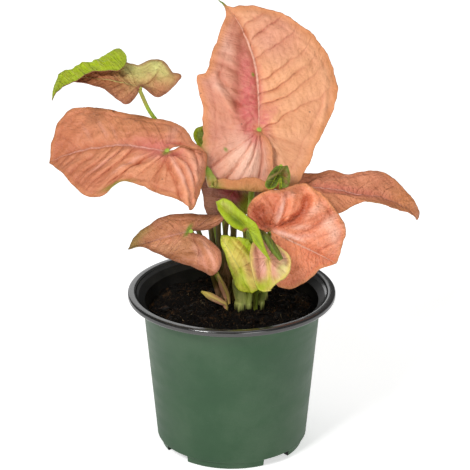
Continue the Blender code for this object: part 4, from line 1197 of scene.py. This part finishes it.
def rolled_sheet(name, roles, slot, points, leaves, stalks):
    """A blade rolled on itself along a path, its outer edge lapping over as a seam."""
    path = spline_points(points, stalks.steps)
    ahead = np.gradient(path[:, :3], axis=0)
    ahead /= np.linalg.norm(ahead, axis=1)[:, None]
    aside = np.cross(ahead, (0.2, -1.0, 0.1))
    aside /= np.linalg.norm(aside, axis=1)[:, None]
    above = np.cross(aside, ahead)
    turn = np.linspace(0, FULL_TURN * ROLL_LAPS, ROLL_SIDES)
    radius = path[:, 3:4] * np.linspace(*ROLL_GROWTH, ROLL_SIDES)[None]
    ring = (aside[:, None] * np.cos(turn)[None, :, None] + above[:, None] * np.sin(turn)[None, :, None])
    places = path[:, None, :3] + radius[..., None] * ring
    mesh = new_mesh(name, places.reshape(-1, 3), grid_faces(len(path), ROLL_SIDES))

    run = np.concatenate([[0], np.cumsum(np.linalg.norm(np.diff(path[:, :3], axis=0), axis=1))])
    along, lap = np.meshgrid(run, turn, indexing="ij")
    seam = (FULL_TURN * ROLL_LAPS - lap) * path[:, 3:4]
    tip_share = ease(along, run[-1] * 0.7, run[-1])
    maps = {"flat": (along, lap, seam), "veins": (seam - 3, along / 4 + lap, np.full(lap.shape, 1.5)),
            "tones": (tip_share, 0 * lap, 0 * lap)}
    for label, values in maps.items():
        store_map(mesh, label, np.stack(values, -1).reshape(-1, 3))
    store_map(mesh, "quilt", np.full(lap.size, 0.6))
    mesh.materials.append(leaf_material(name, roles, leaves, SHOOT_SEED, {"Crinkle": 0.3}))
    piece = add_piece(name + "_sheet", mesh, slot, *([] if name in SHEATHS else [name]))
    thicken(piece, SHOOT_THICKNESS * MM)


class SYNGONIUM_OT_stalks(Undoable, bpy.types.Operator):
    """Adds the leaf stalks, from the soil up to the blades, and the undergrowth between them"""
    bl_idname = "syngonium.stalks"
    bl_label = "Add stalks"

    def execute(self, context):
        settings = context.scene.syngonium
        materials = stalk_materials(settings.stalks)
        soil_top = settings.soil.top / MM
        for leaf in LEAVES:
            build_stalk(leaf, STALKS[leaf.name], soil_top, settings.stalks, materials)
        build_undergrowth(soil_top, settings.stalks, materials["dry_stalk"])
        return {"FINISHED"}


class SYNGONIUM_OT_shoots(Undoable, bpy.types.Operator):
    """Adds the young leaves that are still rolled up, and the sheath"""
    bl_idname = "syngonium.shoots"
    bl_label = "Add shoots"

    def execute(self, context):
        settings = context.scene.syngonium
        for name, (slot, roles, points) in SHOOTS.items():
            rolled_sheet(name, roles, slot, points, settings.leaves, settings.stalks)
        return {"FINISHED"}


# Pot

FOOT_RADIUS = 36.6
FOOT_HEIGHT = 4.8
FOOT_FLARE = 0.6
FOOT_ROUND = 0.4
CORNER_ROUND = 0.6
FLOOR = 1.4
WALL_TOP = 74.0
LIP_WIDTH = 4.2
LIP_ROUND = 1.2
LIP_THICKNESS = 2.6
LIP_OVERHANG = 4.8
SHOULDER_STEP = 0.6
SHOULDER_TOP = 78.6
NOTCH_COUNT = 4
NOTCH_FIRST_ANGLE = -140.7
NOTCH_INNER_RADIUS = 28.0
NOTCH_TOP = 4.6
NOTCH_ROUND = 0.8
SHARP_ANGLE = 38


def rounded(centre, radius, start, end, steps=6):
    """Points of an arc about a centre, from one angle to another in degrees."""
    angles = np.radians(np.linspace(start, end, steps + 1))
    return [(centre[0] + radius * math.cos(a), centre[1] + radius * math.sin(a)) for a in angles]


def pot_profile(pot):
    """(radius, height) from the middle of the floor up the inside, over the lip and down outside."""
    rim, top = pot.rim_radius / MM, pot.height / MM
    wall_top, wall_foot, wall = pot.wall_top_radius / MM, pot.wall_foot_radius / MM, pot.wall / MM
    lip_in = rim - LIP_WIDTH
    under = top - LIP_THICKNESS
    foot_in = FOOT_RADIUS - wall
    inside = [(0, FLOOR), (foot_in - 1, FLOOR)]
    inside += rounded((foot_in - CORNER_ROUND, FLOOR + CORNER_ROUND), CORNER_ROUND, -90, 0)
    inside += [(foot_in + FOOT_FLARE, FOOT_HEIGHT), (wall_foot - wall, FOOT_HEIGHT + wall),
               (wall_top - wall, WALL_TOP), (wall_top - wall + SHOULDER_STEP, WALL_TOP + 0.8),
               (wall_top + SHOULDER_STEP - wall, SHOULDER_TOP + wall / 4),
               (lip_in - wall, top - 2 * LIP_ROUND), (lip_in - 0.4, top - 1.6)]
    lip = rounded((lip_in + LIP_ROUND, top - LIP_ROUND), LIP_ROUND, 180, 90)
    lip += rounded((rim - LIP_ROUND, top - LIP_ROUND), LIP_ROUND, 90, 0)
    lip += rounded((rim - LIP_ROUND * 0.8, under + LIP_ROUND * 0.4), LIP_ROUND * 0.8, 0, -80)
    outside = [(rim - LIP_OVERHANG, under - LIP_ROUND / 3),
               (wall_top + SHOULDER_STEP + 0.5, SHOULDER_TOP + 0.8),
               (wall_top + SHOULDER_STEP, SHOULDER_TOP), (wall_top + SHOULDER_STEP * 0.8, WALL_TOP + 1),
               (wall_top, WALL_TOP), (wall_foot, FOOT_HEIGHT + 0.4)]
    outside += rounded((wall_foot - CORNER_ROUND, FOOT_HEIGHT + 0.2), CORNER_ROUND, 0, -90)
    outside += [(FOOT_RADIUS + FOOT_FLARE, FOOT_HEIGHT - FOOT_ROUND), (FOOT_RADIUS, FOOT_ROUND),
                (FOOT_RADIUS - FOOT_ROUND, 0), (0, 0)]
    return inside + lip + outside


def turned_pot(pot):
    """The pot as a solid of revolution, without its notches."""
    mesh = bpy.data.meshes.new("pot_turned")
    points = [(radius * MM, 0, height * MM) for radius, height in pot_profile(pot)]
    mesh.from_pydata(points, [(i, i + 1) for i in range(len(points) - 1)], [])
    thing = link("pot_turned", mesh)
    screw = thing.modifiers.new("turn", "SCREW")
    screw.axis = "Z"
    screw.steps = screw.render_steps = pot.steps
    screw.use_merge_vertices = True
    screw.merge_threshold = 0.00001
    return thing


def notch_cutter(angle, pot):
    """A rounded block that cuts one drain notch."""
    reach = pot.rim_radius / MM - NOTCH_INNER_RADIUS
    middle = (NOTCH_INNER_RADIUS + reach / 2) * MM
    block = bmesh.new()
    bmesh.ops.create_cube(block, size=1)
    bmesh.ops.scale(block, vec=(reach * MM, pot.notch_width, 2 * NOTCH_TOP * MM), verts=block.verts)
    bmesh.ops.bevel(block, geom=list(block.edges), offset=NOTCH_ROUND * MM, segments=3, affect="EDGES",
                    profile=0.5)
    mesh = bpy.data.meshes.new("notch_cutter")
    block.to_mesh(mesh)
    block.free()
    cutter = link("notch_cutter", mesh)
    cutter.location = (middle * math.cos(angle), middle * math.sin(angle), 0)
    cutter.rotation_euler = (0, 0, angle)
    return cutter


def notched(thing, cutters):
    """The thing's mesh, turned and cut. The thing and its cutters are gone afterwards."""
    for cutter in cutters:
        cut = thing.modifiers.new("notch", "BOOLEAN")
        cut.object = cutter
        cut.solver = "EXACT"
    mesh = bpy.data.meshes.new_from_object(thing.evaluated_get(bpy.context.evaluated_depsgraph_get()))
    for done in (thing, *cutters):
        bpy.data.objects.remove(done, do_unlink=True)
    return mesh


def build_pot(pot):
    angles = [math.radians(NOTCH_FIRST_ANGLE + 360 / NOTCH_COUNT * number) for number in range(NOTCH_COUNT)]
    mesh = notched(turned_pot(pot), [notch_cutter(angle, pot) for angle in angles])
    mesh.name = "pot_shell"
    mesh.materials.clear()
    for name, plastic, roughness, specular in (("green_plastic", pot.green, 0.5, 0.25),
                                               ("black_lip", pot.black, 0.16, 0.9),
                                               ("black_inside", pot.black, 0.4, 0.15)):
        values = {"Plastic": plastic, "Roughness": roughness, "Grain": 0.02, "Dust Amount": 0.05}
        mesh.materials.append(finish_material(name, "Plastic skin", specular, values))
    lip_under = pot.height - (LIP_THICKNESS + LIP_ROUND / 3 + 0.1) * MM
    for face in mesh.polygons:
        place = face.center
        outward = face.normal.x * place.x + face.normal.y * place.y
        inner = outward < -0.05 * math.hypot(place.x, place.y) or face.normal.z > 0.3
        face.material_index = 1 if place.z > lip_under else 2 if inner else 0
    mesh.shade_smooth()
    mesh.set_sharp_from_angle(angle=math.radians(SHARP_ANGLE))
    add_piece("pot_shell", mesh, "green_plastic", "pot")


class SYNGONIUM_OT_pot(Undoable, bpy.types.Operator):
    """Adds the moulded nursery pot with its black lip and drain notches"""
    bl_idname = "syngonium.pot"
    bl_label = "Add pot"

    def execute(self, context):
        build_pot(context.scene.syngonium.pot)
        return {"FINISHED"}


# Soil

SOIL_GAP = 0.15
SOIL_SKIRT = 12
# The soil is heaped round the stalks: place, height and the square of its width
HEAP_X, HEAP_Y = 6, 3
HEAP_HEIGHT = 1.6
HEAP_SPREAD = 130
# It sinks by that much at that radius, close to the wall
SINK = 1.2
SINK_RADIUS = 43
CHIP_SEED = 12
CRUMB_SIZES = (0.5, 1.2)
CHIP_SIZES = (0.9, 2.8)
FIBRE_SEED = 29
FIBRE_LENGTHS = (2, 13)
FIBRE_RADII = (0.05, 0.15)
FIBRE_ARCHES = (0.1, 1.6)
FIBRE_POINTS = 9


def soil_radius(pot, height):
    """Inside radius of the pot at a height, in millimetres."""
    rise = (height - FOOT_HEIGHT) / (WALL_TOP - FOOT_HEIGHT)
    foot, top = pot.wall_foot_radius / MM, pot.wall_top_radius / MM
    return foot + (top - foot) * rise - pot.wall / MM


def soil_height(x, y, soil):
    """Height of the crumbly soil at a place, in millimetres."""
    place = Vector((x * 0.055, y * 0.055, 3.1))
    clods = noise.fractal(place, 0.9, 2.1, 4)
    fine = noise.fractal(place * 6.5, 0.6, 2.2, 4)
    cell = noise.cell_vector(place * 14)[0] - 0.5
    heap = HEAP_HEIGHT * math.exp(-((x - HEAP_X) ** 2 + (y - HEAP_Y) ** 2) / HEAP_SPREAD)
    sink = SINK * (math.hypot(x, y) / SINK_RADIUS) ** 4 - heap
    return soil.top / MM + soil.lump / MM * clods + soil.crumb / MM * (fine + 0.35 * cell) - sink


def circle_points(radius, steps, shift):
    """Places on a circle, turned by a share of one step."""
    angles = [FULL_TURN * (step + shift) / steps for step in range(steps)]
    return [(radius * math.cos(angle), radius * math.sin(angle)) for angle in angles]


def build_soil(settings):
    """A disc of crumbly soil with a skirt that goes down inside the pot."""
    soil, pot = settings.soil, settings.pot
    step = soil.step / MM
    edge = soil_radius(pot, soil.top / MM) - SOIL_GAP
    rings = round(edge / step)
    spokes = round(FULL_TURN * edge / step / 1.3)
    vertices = [(0, 0, soil_height(0, 0, soil))]
    for ring in range(1, rings + 1):
        circle = circle_points(edge * ring / rings, spokes, 0.5 * (ring % 2))
        vertices += [(x, y, soil_height(x, y, soil)) for x, y in circle]
    foot = soil.top / MM - SOIL_SKIRT
    low = soil_radius(pot, foot) - SOIL_GAP
    vertices += [(x, y, foot) for x, y in circle_points(low, spokes, 0.5 * (rings % 2))]
    faces = [(0, 1 + s, 1 + (s + 1) % spokes) for s in range(spokes)]
    for ring in range(rings):
        here, there = 1 + ring * spokes, 1 + (ring + 1) * spokes
        faces += [(here + s, there + s, there + (s + 1) % spokes, here + (s + 1) % spokes)
                  for s in range(spokes)]
    faces.append(tuple(1 + rings * spokes + s for s in reversed(range(spokes))))
    mesh = new_mesh("soil", vertices, faces)
    peat = finish_material("peat", "Earth grain", 0.15, {"Dark": soil.dark, "Light": soil.light})
    mesh.materials.append(peat)
    add_piece("soil_surface", mesh, "soil", "soil")


def scatter_place(rng, soil, pot, inset):
    """A random place on the soil, spread evenly over it."""
    reach = soil_radius(pot, soil.top / MM) - inset
    radius, angle = reach * math.sqrt(rng.random()), rng.uniform(0, FULL_TURN)
    return radius * math.cos(angle), radius * math.sin(angle)


def build_chips(settings):
    """Bark chips and crumbs: uneven lumps sunk a little into the soil, in one mesh."""
    soil, pot = settings.soil, settings.pot
    rng = random.Random(CHIP_SEED)
    chips = bmesh.new()
    for _ in range(soil.chips):
        x, y = scatter_place(rng, soil, pot, 3)
        long = rng.choice((rng.uniform(*CRUMB_SIZES), rng.uniform(*CHIP_SIZES)))
        centre = Vector((x, y, soil_height(x, y, soil) + 0.1 * long)) * MM
        shape = bmesh.ops.create_icosphere(chips, subdivisions=2, radius=1)["verts"]
        heading = Vector((rng.uniform(-1, 1), rng.uniform(-1, 1), rng.uniform(-0.3, 0.3)))
        turn = heading.to_track_quat("X", "Z")
        seed = Vector((rng.uniform(0, 50), 0, 0))
        flat, wide = rng.uniform(0.25, 0.6), rng.uniform(0.4, 0.9)
        for vertex in shape:
            rough = 1 + 0.5 * noise.noise(vertex.co * 1.7 + seed)
            local = Vector((vertex.co.x, vertex.co.y * wide, vertex.co.z * flat)) * rough * long * MM
            vertex.co = centre + turn @ local
    mesh = bpy.data.meshes.new("bark")
    chips.to_mesh(mesh)
    chips.free()
    bark = {"Dark": soil.dark, "Light": soil.bark, "Scale": 1.6, "Damp": 0.7}
    mesh.materials.append(finish_material("bark", "Earth grain", 0.2, bark))
    add_piece("bark_chips", mesh, "soil")


def build_fibres(settings):
    """Loose fibres and fine roots that curl over the soil."""
    soil, pot = settings.soil, settings.pot
    rng = random.Random(FIBRE_SEED)
    values = {"Dark": soil.root, "Light": soil.fibre, "Scale": 2.5, "Damp": 0.2}
    curve = new_curve("fibres", 1, finish_material("fibre", "Earth grain", 0.15, values))
    for _ in range(soil.fibres):
        x, y = scatter_place(rng, soil, pot, 4)
        heading = rng.uniform(0, FULL_TURN)
        length = rng.uniform(*FIBRE_LENGTHS)
        thickness = rng.uniform(*FIBRE_RADII)
        bend = rng.uniform(-0.3, 0.3)
        arch = rng.uniform(*FIBRE_ARCHES)
        path, radii = [], []
        for t in np.linspace(0, 1, FIBRE_POINTS):
            if math.hypot(x, y) > soil_radius(pot, soil.top / MM) - 1:
                x, y = x * 0.97, y * 0.97
            lift = arch * math.sin(math.pi * t) + 0.15
            path.append((x, y, soil_height(x, y, soil) + lift))
            radii.append(thickness * (1 - 0.6 * t))
            heading += bend + rng.uniform(-0.3, 0.3)
            x += length / FIBRE_POINTS * math.cos(heading)
            y += length / FIBRE_POINTS * math.sin(heading)
        add_strand(curve, path, radii)
    add_piece("fibres", curve, "soil")


class SYNGONIUM_OT_soil(Undoable, bpy.types.Operator):
    """Adds the soil with its bark chips and loose fibres"""
    bl_idname = "syngonium.soil"
    bl_label = "Add soil"

    def execute(self, context):
        for build in (build_soil, build_chips, build_fibres):
            build(context.scene.syngonium)
        return {"FINISHED"}


# Studio

CAMERA_AIM = (1.69, 0.0, 113.62)
SENSOR_WIDTH = 36
# Strength of the floor's own even light, which keeps it nearly white
FLOOR_GLOW = 0.56
# Square lights by the setting that holds their power: place and side in metres
SOFTBOXES = {
    "key": ((-0.8, -1.1, 1.3), 0.45),
    "fill": ((0.55, -1.35, 0.55), 0.6),
    "top": ((0.0, 0.25, 1.7), 0.9),
    "back": ((-0.35, 1.3, 0.52), 0.8),
}


def floor_material(stage):
    material, n, shader = new_material("studio_floor")
    place = n.place()
    tone = n.band(n.noise(place, 3.0), 0.3, 0.7, 0.985, 1.0)
    mixed = n.blend(1.0, (*stage.floor, 1), n.join(tone, tone, tone), "MULTIPLY")
    rough = n.band(n.noise(place, 40.0), 0.3, 0.7, 0.75, 0.85)
    n.feed(shader, {"Base Color": mixed, "Roughness": rough, "Emission Color": (1, 1, 1, 1),
                    "Emission Strength": FLOOR_GLOW})
    return material


def build_stage(stage):
    half = stage.floor_size / 2
    corners = [(-half, -half, 0), (half, -half, 0), (half, half, 0), (-half, half, 0)]
    mesh = bpy.data.meshes.new("studio_floor")
    mesh.from_pydata(corners, [], [(0, 1, 2, 3)])
    mesh.materials.append(floor_material(stage))
    link("studio_floor", mesh)

    aim = Vector(CAMERA_AIM) * MM
    for name, (place, side) in SOFTBOXES.items():
        light = bpy.data.lights.new(name, "AREA")
        light.shape = "SQUARE"
        light.size = side
        light.energy = getattr(stage, name)
        lamp = link(name + "_light", light)
        lamp.location = place
        lamp.rotation_euler = (Vector(place) - aim).to_track_quat("Z", "Y").to_euler()

    scene = bpy.context.scene
    scene.world = bpy.data.worlds.new("studio")
    scene.world.use_nodes = True
    sky = scene.world.node_tree.nodes["Background"]
    sky.inputs["Color"].default_value = (1, 1, 1, 1)
    sky.inputs["Strength"].default_value = stage.sky
    scene.view_settings.view_transform = "Standard"

    camera = bpy.data.cameras.new("camera")
    camera.lens = stage.lens
    camera.sensor_width = SENSOR_WIDTH
    viewer = link("camera", camera)
    back = Vector((0, -math.cos(stage.elevation), math.sin(stage.elevation)))
    viewer.location = aim + back * stage.distance
    viewer.rotation_euler = back.to_track_quat("Z", "Y").to_euler()
    scene.camera = viewer


class SYNGONIUM_OT_stage(Undoable, bpy.types.Operator):
    """Adds the floor, the soft lights and the camera"""
    bl_idname = "syngonium.stage"
    bl_label = "Add studio"

    def execute(self, context):
        build_stage(context.scene.syngonium.stage)
        return {"FINISHED"}


# Panel and main

class SYNGONIUM_PT_panel(bpy.types.Panel):
    """Lists the pieces of the plant and their settings"""
    bl_idname = "SYNGONIUM_PT_panel"
    bl_label = "Potted syngonium"
    bl_space_type = "VIEW_3D"
    bl_region_type = "UI"
    bl_category = "Syngonium"

    def draw(self, context):
        buttons = {"pot": ["pot"], "soil": ["soil"], "leaves": [], "stalks": ["stalks", "shoots"],
                   "stage": ["stage"]}
        for part, operators in buttons.items():
            box = self.layout.box()
            box.label(text=part.capitalize())
            for name in operators:
                box.operator(f"syngonium.{name}")
            if part == "leaves":
                for leaf in LEAVES:
                    box.operator("syngonium.leaf", text=leaf.name.replace("_", " ")).name = leaf.name
            group = getattr(context.scene.syngonium, part)
            for name in group.__annotations__:
                box.prop(group, name)


CLASSES = (SYNGONIUM_PG_pot, SYNGONIUM_PG_soil, SYNGONIUM_PG_leaves, SYNGONIUM_PG_stalks, SYNGONIUM_PG_stage,
           SYNGONIUM_PG_all, SYNGONIUM_OT_leaf, SYNGONIUM_OT_stalks, SYNGONIUM_OT_shoots, SYNGONIUM_OT_pot,
           SYNGONIUM_OT_soil, SYNGONIUM_OT_stage, SYNGONIUM_PT_panel)


def register():
    for one in CLASSES:
        bpy.utils.register_class(one)
    bpy.types.Scene.syngonium = PointerProperty(type=SYNGONIUM_PG_all)


def unregister():
    del bpy.types.Scene.syngonium
    for one in reversed(CLASSES):
        bpy.utils.unregister_class(one)


def main():
    register()
    bpy.ops.syngonium.pot()
    bpy.ops.syngonium.soil()
    for leaf in LEAVES:
        bpy.ops.syngonium.leaf(name=leaf.name)
    bpy.ops.syngonium.stalks()
    bpy.ops.syngonium.shoots()
    bpy.ops.syngonium.stage()
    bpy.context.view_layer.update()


if __name__ == "__main__":
    main()
